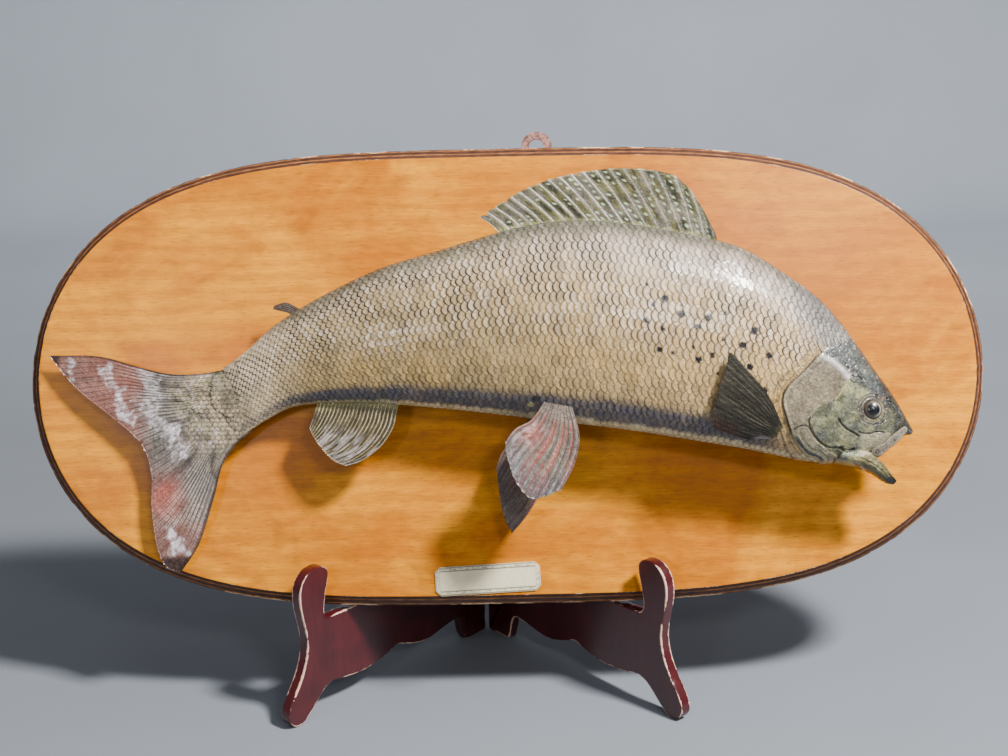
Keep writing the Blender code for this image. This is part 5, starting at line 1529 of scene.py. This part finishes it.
class Fin:
    """A fin's middle surface and where each point of it lies: over the fin, out along its rays."""

    def __init__(self, name, rays, per_ray, rows, slant=1.0, fork=0.16, ragged=0.012, tears=()):
        self.rays, self.name = rays, name
        base, first, margin, last = (smooth_line(line) for line in FINS[name])
        over = np.linspace(0.0, 1.0, rays * per_ray + 1)
        self.over = over[:, None] + np.zeros(rows + 1)
        self.phase = self.over * rays
        edge = noise(np.column_stack([over * rays, over]), 0.7, 91)
        reach = 1 - ragged * (0.5 + 0.5 * edge) - ragged * 0.7 * (0.5 - 0.5 * np.cos(FULL_TURN * over * rays))
        for place, width, depth in tears:
            reach = reach - depth * bell(over - place, width)
        self.out = np.linspace(0.0, 1.0, rows + 1)[None, :] * np.minimum(reach, 1.0)[:, None]
        root = along(base, self.over)
        tip = along(margin, self.over**slant)
        aside = self.over[..., None]
        ends = along(first, self.out) * (1 - aside) + along(last, self.out) * aside
        near = base[0] * (1 - aside) + base[-1] * aside
        far = margin[0] * (1 - aside) + margin[-1] * aside
        out = self.out[..., None]
        self.flat = root * (1 - out) + tip * out + ends - near * (1 - out) - far * out
        height = lift_of(name)(self.flat[..., 0], self.flat[..., 1], self.out)
        self.middle = np.concatenate([self.flat, height[..., None]], axis=-1)
        self.span = np.linalg.norm(np.gradient(self.middle, axis=0), axis=-1) * per_ray / MM
        self.length = np.linalg.norm(np.diff(self.middle, axis=1), axis=-1).sum(axis=1)[:, None] / MM
        split = fork * step(self.out, 0.40, 0.85)
        nearest = self.phase - np.round(self.phase)
        self.side = nearest
        off = np.minimum(np.abs(nearest - split), np.abs(nearest + split))
        self.ridge = bell(off, 0.15 - 0.04 * self.out)

    def place(self):
        """The fin's places (u, v) in millimetres."""
        return self.flat[..., 0] / MM, self.flat[..., 1] / MM

    def shell(self, extra=0.0, pleat=0.10, thick=1.0, ribs=1.0):
        """Both faces of the fin: thin membranes between rays that stand out on either side."""
        along_ray = np.gradient(self.middle, axis=1)
        normal = np.cross(np.gradient(self.middle, axis=0), along_ray)
        normal /= np.maximum(np.linalg.norm(normal, axis=-1), 1e-12)[..., None]
        if normal[..., 2].mean() < 0:
            normal = -normal
        half = (MEMBRANE_HALF + RAY_HALF * ribs * self.ridge * (1 - 0.45 * self.out)) * thick
        half = half + 0.07 * noise(self.flat, 0.0016, 92) + 0.05 * noise(self.flat, 0.0008, 93)
        share = np.linspace(0.0, 1.0, self.out.shape[1])[None, :]
        half = half * np.sqrt(np.clip(1 - np.maximum(0.0, (share - 0.96) / 0.04) ** 2, 0.05, 1.0))
        border = np.minimum(self.over, 1 - self.over) * self.rays
        half = np.maximum(half, 0.12) * (0.35 + 0.65 * step(border, 0.0, 0.2))
        bend = pleat * np.sin(FULL_TURN * self.phase) * step(self.out, 0.02, 0.25)
        middle = self.middle + normal * (bend * MM)[..., None]
        front = middle + normal * ((half + extra) * MM)[..., None]
        back = middle - normal * ((half + extra) * MM)[..., None]
        front[..., 2] = np.maximum(front[..., 2], GAP)
        back[..., 2] = np.maximum(back[..., 2], GAP)
        return front, back

    def piece(self, tint, look, slot, **shape):
        """Builds the fin, both faces and the edge between them."""
        front, back = self.shell(**shape)
        faces = closed_sheet(*self.out.shape)
        points = np.vstack([front.reshape(-1, 3), back.reshape(-1, 3)])
        a, b, c = points[faces[0][:3]]
        if np.cross(b - a, c - a)[2] < 0:
            faces = [list(face)[::-1] for face in faces]
        both = np.tile(tint.reshape(-1, 3), (2, 1))
        piece = build(self.name + "_rays", points, faces, look, {"tint": both})
        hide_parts(self.name)


def fin_noise(fin, size_over, size_out, seed):
    """Noise stretched along the rays."""
    return rough(np.stack([fin.phase / size_over, fin.out * fin.length / size_out], axis=-1), 1.0, seed)


def make_dorsal():
    """The tall fin: dark membranes, painted highlights on the ray edges behind with painted shadows beside
    them, mint spots in front, a pale margin.
    """
    fin = Fin("dorsal_fin", 19, 13, 72, DORSAL_SLANT, 0.06, 0.012,
              ((0.46, 0.004, 0.05), (0.83, 0.005, 0.09), (0.90, 0.006, 0.05), (0.965, 0.008, 0.10)))
    over, out = fin.over, fin.out
    rear = step(over, 0.25, 0.50)
    tint = blend(DORSAL_DARK, DORSAL_PALE, step(fin_noise(fin, 0.5, 7.0, 101), -0.4, 0.6))
    tint = blend(tint, DORSAL_REAR * 0.7, 0.6 * step(rough(fin.flat, 0.010, 104), 0.0, 0.5))
    base = 1 - step(out * fin.length + 1.5 * rough(fin.flat, 0.004, 105), 1.5, 6.0)
    tint = blend(tint, DORSAL_BASE, 0.85 * base)
    # Painted highlight along one edge of each ray, mostly on the rear rays, and a painted shadow just beside
    # it.
    lit = (0.15 + 0.85 * rear) * step(fin_noise(fin, 2.0, 14.0, 102), -0.6, 0.2)
    tint = blend(tint, CRACK_AND_SHADE, (0.50 + 0.25 * rear) * bell(fin.side + 0.12, 0.085))
    # Painted sheen: a pale band beside each ray's highlight.
    shine = step(fin.side, 0.05, 0.12) * (1 - step(fin.side, 0.16, 0.42))
    shine = shine * step(fin_noise(fin, 1.4, 9.0, 127), -0.5, 0.4)
    tint = blend(tint, DORSAL_RAY_AND_SHEEN, 0.38 * shine * (0.3 + 0.7 * rear))
    tint = blend(tint, DORSAL_RAY_AND_SHEEN, 0.30 * bell(fin.side, 0.070))
    tint = blend(tint, RAY_WHITE_AND_GLINT, 0.95 * lit * bell(fin.side - 0.035, 0.045))
    row = out / DORSAL_SPOT_STEP - 0.5 * (np.floor(fin.phase) % 2)
    column, line = np.floor(fin.phase), np.round(row)
    cell = np.stack([column, line], axis=-1) + 0.5
    shift_over, shift_out = 0.30 * noise(cell, 1.0, 106), 0.45 * noise(cell, 1.0, 107)
    near = np.hypot((fin.phase - column - 0.5 - shift_over) * fin.span,
                    (row - line - shift_out) * DORSAL_SPOT_STEP * fin.length)
    seen = noise(cell, 1.0, 103) > np.interp(over, (0.0, 0.35, 0.60, 1.0), (-0.60, -0.15, 0.30, 0.45))
    seen &= (line >= 1) & (out < 0.95)
    radius = 0.85 + 0.35 * noise(cell, 1.0, 108)
    spot = (1 - step(near + 0.2 * noise(fin.flat, 0.0012, 109), radius - 0.2, radius + 0.2)) * seen
    tint = blend(tint, DORSAL_SPOT, 0.90 * spot)
    tint = blend(tint, DORSAL_DARK * 0.5, 0.8 * (1 - step(over * fin.rays, 0.15, 0.8)))
    tint = blend(tint, DORSAL_REAR * 0.6, 0.8 * step(over, 0.93, 0.98) * step(out, 0.45, 0.8))
    crust = step(out, 0.965, 0.985) * step(noise(fin.flat, 0.004, 110), -0.5, 0.2)
    tint = blend(tint, ANAL_RAY, 0.75 * crust * (1 - step(over, 0.9, 0.95)))
    fin.piece(tint, FIN, "fin_green", pleat=0.16, ribs=0.8)


def make_caudal():
    """The tail fin: reddish lobes with dark tips, patches of painted sheen and a scaled, creased base."""
    fin = Fin("caudal_fin", 40, 7, 110, 1.0, 0.22, 0.003,
              ((0.10, 0.003, 0.02), (0.35, 0.003, 0.03), (0.47, 0.004, 0.04), (0.62, 0.003, 0.02)))
    u, v = fin.place()
    flat, over = fin.flat, fin.over
    root = np.hypot(u - TAIL_FIN_ROOT[0], v - TAIL_FIN_ROOT[1])
    lower = step(over, 0.42, 0.60)
    tint = blend(TAIL_RED, TAIL_GREY, np.clip(0.85 * lower + 1 - step(root, 44.0, 60.0), 0.0, 1.0))
    tint = blend(tint, tint * 0.62, 0.8 * step(fin_noise(fin, 1.6, 16.0, 111), -0.1, 0.5))
    tint = blend(tint, tint * 1.5, 0.6 * step(fin_noise(fin, 0.5, 6.0, 125), 0.1, 0.5))
    pink = bell(np.hypot(u - TAIL_PINK_PLACE[0], 0.75 * (v - TAIL_PINK_PLACE[1])), 9.5)
    pink = np.clip(1.3 * pink, 0.0, 1.0) * step(fin_noise(fin, 1.5, 20.0, 112), -1.2, -0.3)
    tint = blend(tint, TAIL_PINK, 0.9 * pink)
    tint = blend(tint, TAIL_RED, 0.7 * step(-v, 74.0, 82.0))
    plain = np.maximum(step(-u, 206.0, 214.0), np.maximum(step(-v, 76.0, 84.0), pink))
    ray = fin.ridge * step(fin_noise(fin, 3.0, 20.0, 113), -0.6, 0.3)
    beads = 0.5 + 0.5 * np.cos(FULL_TURN * fin.out * fin.length / 1.9 + 2.0 * noise(flat, 0.002, 114))
    beaded = step(over, 0.66, 0.80) * step(root, 24.0, 34.0) * (1 - step(root, 72.0, 82.0))
    tint = blend(tint, RAY_WHITE_AND_GLINT, ray * (0.22 * (1 - 0.5 * plain) + 0.60 * beaded * beads))
    faint = 0.34 * step(fin_noise(fin, 2.5, 16.0, 129), -0.9, 0.2)
    tint = blend(tint, CRACK_AND_SHADE, faint * (1 - 0.65 * plain) * bell(np.abs(fin.side) - 0.5, 0.10))
    crinkle = step(fin_noise(fin, 0.45, 2.0, 119), -0.25, 0.35)
    ragged = 0.85 * rough(flat, 0.0042, 115) + 0.55 * fin_noise(fin, 0.8, 6.0, 128)
    # Painted sheen in ragged strokes.
    for start, end, width, strength in TAIL_PAINTED_SHEEN:
        near = nearness(np.array([start, end]) * MM, flat[..., 0], flat[..., 1])[0] / MM
        patchy = step(1 - near / width / 1.3 + ragged, 0.20, 0.75) * step(near, width * 1.9, width * 0.9)
        tint = blend(tint, PAINTED_SHEEN_WHITE, strength * patchy * (0.22 + 0.78 * crinkle))
    pebbles = pebble_rows(u, v)
    silver = 1 - step(root + 5.0 * rough(flat, 0.007, 116), 22.0, 40.0)
    scaled = blend(TAIL_STEM * 0.40, TAIL_STEM * 0.95, step(pebbles, 0.10, 0.55))
    scaled = blend(scaled, HEAD_GREEN, 0.5 * step(rough(flat, 0.010, 126), -0.1, 0.4))
    # Painted glints on the scaled base.
    flecks = step(rough(flat, 0.0022, 120), 0.1, 0.6)
    scaled = blend(scaled, PAINTED_SHEEN_WHITE, 0.50 * flecks * step(root, 6.0, 24.0))
    tint = blend(tint, scaled, 0.9 * silver)
    tint = blend(tint, tint * 0.42, 0.8 * step(rough(flat, 0.0060, 122), 0.0, 0.5) * silver)
    tint = blend(tint, CRACK_AND_SHADE, 0.95 * cracked(u, v))
    creases = bell(np.sin(np.arctan2(v + 12.0, u + 162.0) * 8.0 + 1.3 * noise(flat, 0.012, 117)), 0.24)
    fan = bell(root - 36.0, 10.0)
    tint = blend(tint, CRACK_AND_SHADE, 0.62 * creases * fan)
    tip = np.maximum(step(-v, 96.0, 100.0), step(-u, 250.5, 254.0))
    tint = blend(tint, TAIL_DARK, 0.90 * tip)
    border = np.minimum(over, 1 - over) * fin.span * fin.rays
    tint = blend(tint, TAIL_DARK, 0.80 * (1 - step(border, 0.5, 1.8)))
    lumps = sum(bell(np.hypot(u - place[0], v - place[1]), place[2]) for place in TAIL_LUMPS)
    stem = float(FISH.at(np.array(FISH.length))[5]) / MM - COAT_DEPTH
    round_ = np.sqrt(np.clip(1 - (2 * over - 1) ** 2, 0.0, 1.0))
    wrist = round_ * np.exp(-((fin.out * fin.length / TAIL_WRIST_REACH) ** 1.5))
    extra = 0.22 * (pebbles - 0.5) * silver - 0.45 * creases * fan + 0.9 * lumps + max(stem, 0.0) * wrist
    extra = extra + 0.35 * rough(flat, 0.0040, 121) * bell(root - 22.0, 18.0) - 0.30 * cracked(u, v)
    fin.piece(tint, FIN_GLOSSY, "fin_tail", extra=np.maximum(extra, -0.05), pleat=0.08, ribs=0.7)


def pebble_rows(u, v):
    """Small rounded scales in offset rows on the tail fin's base, from 0 in their gaps to 1."""
    x, y = u / 3.0, v / 2.5
    x = x + 0.5 * (np.floor(y) % 2) + 0.15 * noise(np.stack([u, v], axis=-1), 2.0, 118)
    near = np.hypot(x - np.floor(x) - 0.5, y - np.floor(y) - 0.5)
    return 1 - step(near, 0.18, 0.55)


def make_anal():
    """The fin under the tail stem: dark membranes, cream rays, a yellowish base."""
    fin = Fin("anal_fin", 21, 10, 66, 0.95, 0.16, 0.014, ((0.55, 0.006, 0.03), (0.8, 0.008, 0.04)))
    out, over = fin.out, fin.over
    tint = blend(ANAL_MEMBRANE, ANAL_MEMBRANE * 2.0, step(fin_noise(fin, 0.5, 6.0, 121), -0.1, 0.6))
    tint = blend(tint, CRACK_AND_SHADE, 0.6 * bell(fin.side + 0.20, 0.10))
    tint = blend(tint, ANAL_BASE, 0.60 * (1 - step(out * fin.length, 1.5, 8.0)))
    seen = step(fin_noise(fin, 2.0, 12.0, 123), -0.8, 0.0)
    tint = blend(tint, ANAL_RAY, 0.80 * bell(fin.side, 0.080) * seen)
    # Painted highlight: white glints over the outer part of the front rays.
    gloss = step(out, 0.40, 0.70) * (1 - step(over, 0.60, 0.85))
    gloss = gloss * step(fin_noise(fin, 0.6, 8.0, 122), -0.2, 0.3)
    tint = blend(tint, PAINTED_SHEEN_WHITE, 0.34 * gloss)
    tint = blend(tint, CRACK_AND_SHADE, 0.45 * step(fin_noise(fin, 0.5, 5.0, 124), 0.25, 0.5) * step(out, 0.3, 0.5))
    tint = blend(tint, TAIL_STEM, 0.5 * step(out, 0.95, 1.0))
    fin.piece(tint, FIN_GLOSSY, "fin_pale", pleat=0.20, ribs=0.8)


def make_pelvics():
    """The paired belly fins: mauve with red streaks; the far one lies in the near one's shadow and is painted
    a lighter tone, as painted light, without the near one's glints.
    """
    for name, shade in (("pelvic_fin_right", 0.0), ("pelvic_fin_left", 1.0)):
        fin = Fin(name, 11, 14, 72, 1.0, 0.17, 0.012, ((0.3, 0.006, 0.02), (0.72, 0.005, 0.025)))
        over, out = fin.over, fin.out
        # Painted light: the far fin is painted a lighter tone than the near one, to make up for the near
        # fin's shadow on it.
        tint = blend(PELVIC_MAUVE, PELVIC_FAR_PAINTED_LIGHT, shade)
        tint = blend(tint, tint * 1.5, 0.7 * step(fin_noise(fin, 0.35, 5.0, 133), 0.1, 0.5))
        tint = blend(tint, tint * 0.55, 0.7 * step(fin_noise(fin, 0.30, 4.0, 134), 0.0, 0.5))
        streak = step(fin_noise(fin, 0.55, 22.0, 131), -0.10, 0.25) * step(out, 0.10, 0.3)
        tint = blend(tint, PELVIC_RED, 0.80 * streak * (1 - 0.8 * fin.ridge))
        tint = blend(tint, CRACK_AND_SHADE, 0.55 * bell(fin.side + 0.27, 0.09) * step(out, 0.1, 0.3))
        green = step(fin_noise(fin, 1.2, 18.0, 135), -0.4, 0.3)
        tint = blend(tint, PELVIC_RAY, (0.55 - 0.20 * shade) * fin.ridge * green)
        # Painted highlight on the bulge near the near fin's root.
        bulge = step(over, 0.02, 0.1) * (1 - step(over, 0.25, 0.50)) * step(out, 0.25, 0.5)
        gloss = step(fin_noise(fin, 0.5, 3.0, 136), -0.3, 0.4)
        tint = blend(tint, PAINTED_SHEEN_WHITE, 0.28 * bulge * (1 - shade) * gloss)
        tint = blend(tint, PELVIC_RED * 1.3, 0.45 * bulge * (1 - step(out, 0.5, 0.8)) * (1 - shade))
        tint = blend(tint, PELVIC_BLUE * 0.7, 0.65 * step(out, 0.55, 0.95))
        chips = step(fin_noise(fin, 0.4, 1.2, 132), 0.1, 0.4) * step(out, 0.965, 0.985)
        tint = blend(tint, PELVIC_RAY * 1.3, 0.8 * chips)
        fin.piece(tint, FIN, "fin_dark", pleat=0.14, ribs=0.8)


def make_pectorals():
    """The paired fins behind the gill covers, dark and dull."""
    for name in ("pectoral_fin_right", "pectoral_fin_left"):
        fin = Fin(name, 14, 12, 72, 0.9, 0.05, 0.012, ((0.0, 0.010, 0.03), (0.25, 0.005, 0.02)))
        over, out = fin.over, fin.out
        tint = blend(PECTORAL_DARK, PECTORAL_DARK * 2.0, 0.8 * step(fin_noise(fin, 0.9, 9.0, 141), 0.0, 0.7))
        tint = blend(tint, tint * 0.6, step(fin_noise(fin, 0.35, 5.0, 143), 0.0, 0.5))
        patchy = step(fin_noise(fin, 1.6, 14.0, 142), -0.3, 0.5) * (1 - 0.8 * step(out, 0.60, 0.90))
        tint = blend(tint, PECTORAL_RAY, 0.75 * bell(fin.side, 0.045) * patchy * step(out, 0.10, 0.30))
        tint = blend(tint, PECTORAL_RED, 0.5 * step(over, 0.72, 0.92) * step(out, 0.35, 0.7))
        # Painted highlight: a pale strip at the base of the last rays.
        gloss = step(over, 0.80, 0.95) * (1 - step(out * fin.length, 6.0, 12.0))
        tint = blend(tint, PAINTED_SHEEN_WHITE, 0.25 * gloss)
        tint = blend(tint, DORSAL_PALE, 0.3 * (1 - step(out * fin.length, 1.0, 4.0)))
        fin.piece(tint, FIN_DULL, "fin_dark", pleat=0.035, ribs=0.25)


def make_adipose():
    """The small fleshy fin ahead of the tail."""
    fin = Fin("adipose_fin", 5, 8, 40, 1.0, 0.0, 0.02)
    tint = blend(ADIPOSE, ADIPOSE * 1.6, step(rough(fin.flat, 0.003, 151), 0.0, 0.6))
    fin.piece(tint, FIN_DULL, "fin_green", pleat=0.05, thick=1.6)


def smooth_outline(points, sharp=0.62, spacing=0.0009, inset=0.0003):
    """A closed outline with its gentle corners rounded out and its outer sharp ones a little worn."""
    points = np.asarray(points)
    ahead = np.roll(points, -1, axis=0) - points
    lengths = np.linalg.norm(ahead, axis=1)
    ahead_unit = ahead / lengths[:, None]
    kept = (ahead_unit * np.roll(ahead_unit, 1, axis=0)).sum(axis=1) < math.cos(sharp)
    lean = ahead + np.roll(ahead, 1, axis=0)
    lean /= np.linalg.norm(lean, axis=1)[:, None]
    line = []
    for index, length in enumerate(lengths):
        after = (index + 1) % len(points)
        start = ahead_unit[index] if kept[index] else lean[index]
        end = ahead_unit[index] if kept[after] else lean[after]
        steps = max(1, int(length / spacing))
        for t in np.arange(steps) / steps:
            line.append(points[index] * (1 + 2 * t) * (1 - t) ** 2 + points[after] * t * t * (3 - 2 * t)
                        + length * (start * t * (1 - t) ** 2 - end * t * t * (1 - t)))
    line = np.clip(line, points.min(axis=0), points.max(axis=0))
    closed = np.vstack([line, line[:1]])
    count = int(lengths.sum() / spacing)
    line = drawn_in(along(closed, np.arange(count) / count), inset)
    inwards = drawn_in(line, 1.0) - line
    for _ in range(CORNER_PASSES):
        pull = (np.roll(line, 1, axis=0) + np.roll(line, -1, axis=0)) / 2 - line
        line = line + inwards * np.maximum((pull * inwards).sum(axis=1), 0.0)[:, None] / 2
    return line


def drawn_in(line, distance):
    """A closed outline, listed anticlockwise, moved inwards."""
    run = np.roll(line, -1, axis=0) - np.roll(line, 1, axis=0)
    run /= np.maximum(np.linalg.norm(run, axis=1), 1e-12)[:, None]
    return line + np.stack([-run[:, 1], run[:, 0]], axis=-1) * distance


def make_wing(side):
    """A plywood easel wing with softened, rubbed edges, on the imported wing's outline."""
    name = "easel_wing_" + side
    bm = bmesh.new()
    bm.from_mesh(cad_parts[name].data)
    bmesh.ops.remove_doubles(bm, verts=bm.verts, dist=1e-6)
    bmesh.ops.dissolve_limit(bm, angle_limit=WING_FLAT_ANGLE, verts=bm.verts, edges=bm.edges)
    face = max(bm.faces, key=lambda one: one.calc_area())
    normal = face.normal.copy()
    outline = np.array([vertex.co[:] for vertex in face.verts])
    depths = [vertex.co.dot(normal) for vertex in bm.verts]
    bm.free()
    up = np.array((0.0, 0.0, 1.0))
    over = np.cross(up, normal)
    line = smooth_outline(np.column_stack([outline @ over, outline @ up]))
    front, back = max(depths) - WING_CLEARANCE, min(depths) + WING_CLEARANCE
    patchy = step(noise(line, 0.012, 161), -0.5, 0.5)
    dents = np.maximum(0.0, noise(line, 0.0045, 162) - 0.45) * 0.0011
    round_ = WING_ROUNDING
    levels = [(round_ * 1.7, 0.0, 0.30), (round_, 0.0, 0.85), (round_ * 0.3, round_ * 0.25, 1.15),
              (0.0, round_, 0.95), (0.0, round_ + 0.0010, 0.42)]
    thickness = front - back
    levels += [(inset, thickness - depth, edge) for inset, depth, edge in levels[::-1]]
    rings, edges = [], []
    for inset, depth, edge in levels:
        knocked = dents * (edge > 0.8)
        ring = line + (drawn_in(line, 1.0) - line) * (inset + knocked)[:, None]
        level = (front - depth) * np.array(normal)
        rings.append(np.outer(ring[:, 0], over) + np.outer(ring[:, 1], up) + level)
        edges.append(edge * (0.72 + 0.5 * patchy))
    faces = capped_rings(len(levels), len(line))
    painted = {"edge": np.concatenate(edges)}
    wing = build("easel_wing_wood_" + side, np.array(rings), faces, LACQUER, painted, placed=False)
    wing.data.set_sharp_from_angle(angle=WING_SHARP_ANGLE)
    for face in wing.data.polygons[-2:]:
        face.use_smooth = False
    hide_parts(name)


def dress(names, look):
    """Gives a better finish to CAD parts that are shown as they are."""
    for name in names:
        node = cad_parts[name]
        node.data.materials.clear()
        node.data.materials.append(look)


def plain_object(name, data):
    """An object of the stage, which rides on no body."""
    made = bpy.data.objects.new(name, data)
    bpy.context.scene.collection.objects.link(made)
    return made


def make_stage():
    """A seamless grey-blue sweep: floor in front, curving up into a wall behind."""
    turn = np.linspace(0.1, math.pi / 2, 14)
    bend = FLOOR_END + SWEEP_RADIUS * np.sin(turn)
    depth = np.concatenate([np.linspace(-FLOOR_END, FLOOR_END, 6), bend, [FLOOR_END + SWEEP_RADIUS]])
    height = np.concatenate([np.zeros(6), SWEEP_RADIUS * (1 - np.cos(turn)), [WALL_TOP]])
    points = [(x, y, z) for y, z in zip(depth, height) for x in (-WALL_HALF_WIDTH, WALL_HALF_WIDTH)]
    mesh = bpy.data.meshes.new("backdrop")
    mesh.from_pydata(points, [], quads(len(depth), 2).tolist())
    mesh.shade_smooth()
    look = Look("backdrop_paper", specular=0.25)
    # Painted shade and light: the sweep is painted darker on the floor in front and lighter towards the wall.
    colour = look.mix(look.between(look.part(1), 0.2, 1.8), BACKDROP * 0.62, BACKDROP * 1.7)
    colour = look.varied(colour, look.noise(0.25, 3.0), 0.96, 1.04)
    colour = look.varied(colour, look.noise(0.0012, 3.0), 0.97, 1.03)
    mesh.materials.append(look.done(colour, 0.85))
    backdrop = plain_object("backdrop", mesh)


def make_lamp(name, place, aim, size, power, colour):
    """A rectangular lamp turned towards a place."""
    data = bpy.data.lights.new(name, "AREA")
    data.shape = "RECTANGLE"
    data.size, data.size_y = size
    data.energy = power
    data.color = colour
    lamp = plain_object(name, data)
    lamp.location = place
    lamp.rotation_euler = (Vector(aim) - Vector(place)).to_track_quat("-Z", "Y").to_euler()


def make_lights():
    """The lamps, and a faint cool sky that fills the shadows."""
    for name, settings in LAMPS.items():
        make_lamp(name, *settings)
    world = bpy.data.worlds.new("studio")
    world.use_nodes = True
    world.node_tree.nodes["Background"].inputs["Color"].default_value = SKY_COLOUR
    world.node_tree.nodes["Background"].inputs["Strength"].default_value = SKY_STRENGTH
    bpy.context.scene.world = world


def make_camera():
    """The photo's view: level with the upper board, looking down at it, rolled a little."""
    aim = BOARD_FRAME @ Vector((0.0, 0.0, -BOARD_CHAMFER))
    ahead = Vector((0.0, math.cos(CAMERA_PITCH), -math.sin(CAMERA_PITCH)))
    right = Vector((1.0, 0.0, 0.0))
    up = right.cross(ahead)
    tilted_right = right * math.cos(CAMERA_ROLL) - up * math.sin(CAMERA_ROLL)
    tilted_up = right * math.sin(CAMERA_ROLL) + up * math.cos(CAMERA_ROLL)
    data = bpy.data.cameras.new("photo_view")
    data.lens = CAMERA_LENS
    data.sensor_width = CAMERA_SENSOR
    data.clip_start, data.clip_end = CAMERA_CLIP
    camera = plain_object("photo_view", data)
    turn = Matrix((tilted_right, tilted_up, -ahead)).transposed().to_4x4()
    camera.matrix_world = Matrix.Translation(aim - ahead * CAMERA_DISTANCE) @ turn
    bpy.context.scene.camera = camera


BOARD_FRAME = board_frame()
FLANK_SPOTS = flank_spots()
FISH = Loft(BODY_CUTS)
GIRTH = Girth(FISH)
NECK = smooth_line(NECK_LINE, 5)
FRONT = smooth_line(GILL_FRONT_LINE, 5)
HEAD_AREA = np.vstack([NECK, np.array(BEYOND_SNOUT) * MM])
COVER_SHARE = COVER_TOP / (len(NECK_LINE) - 1)
COVER_AREA = np.vstack([smooth_line(NECK_LINE[COVER_TOP:-1], 5), FRONT[::-1]])

WOOD = wood_look()
CARD = card_look()
LACQUER = lacquer_look()
SKIN = skin_look("fish_skin", 0.60, 0.60, 0.40)
SCALES = skin_look("fish_scales", 0.45, 0.40, 0.40)
BONY = skin_look("jaw_bone", 0.30, 0.50, 0.45)
FIN = fin_look("fin_skin", 0.46, 0.28)
FIN_GLOSSY = fin_look("fin_glossy_skin", 0.38, 0.60)
FIN_DULL = fin_look("fin_dark_skin", 0.56, 0.10)
EYE = eye_look()
RUST = metal_look("rusty_iron", srgb(150, 112, 104), srgb(96, 60, 50), 0.35, 0.55)
ZINC = metal_look("zinc_screw", srgb(176, 172, 162), srgb(128, 122, 110), 0.9, 0.32)
BRASS = metal_look("aged_brass", srgb(176, 142, 80), srgb(110, 84, 44), 0.9, 0.35)

make_board()
make_label()
make_skin()
make_scales()
make_eyes()
make_maxillae()
make_dorsal()
make_caudal()
make_anal()
make_pelvics()
make_pectorals()
make_adipose()
make_wing("right")
make_wing("left")
dress(("hanger_plate", "hanger_screw_upper", "hanger_screw_lower"), RUST)
dress(("fish_screw_front", "fish_screw_rear"), ZINC)
dress(("easel_hinge_upper", "easel_hinge_lower"), BRASS)
make_stage()
make_lights()
make_camera()
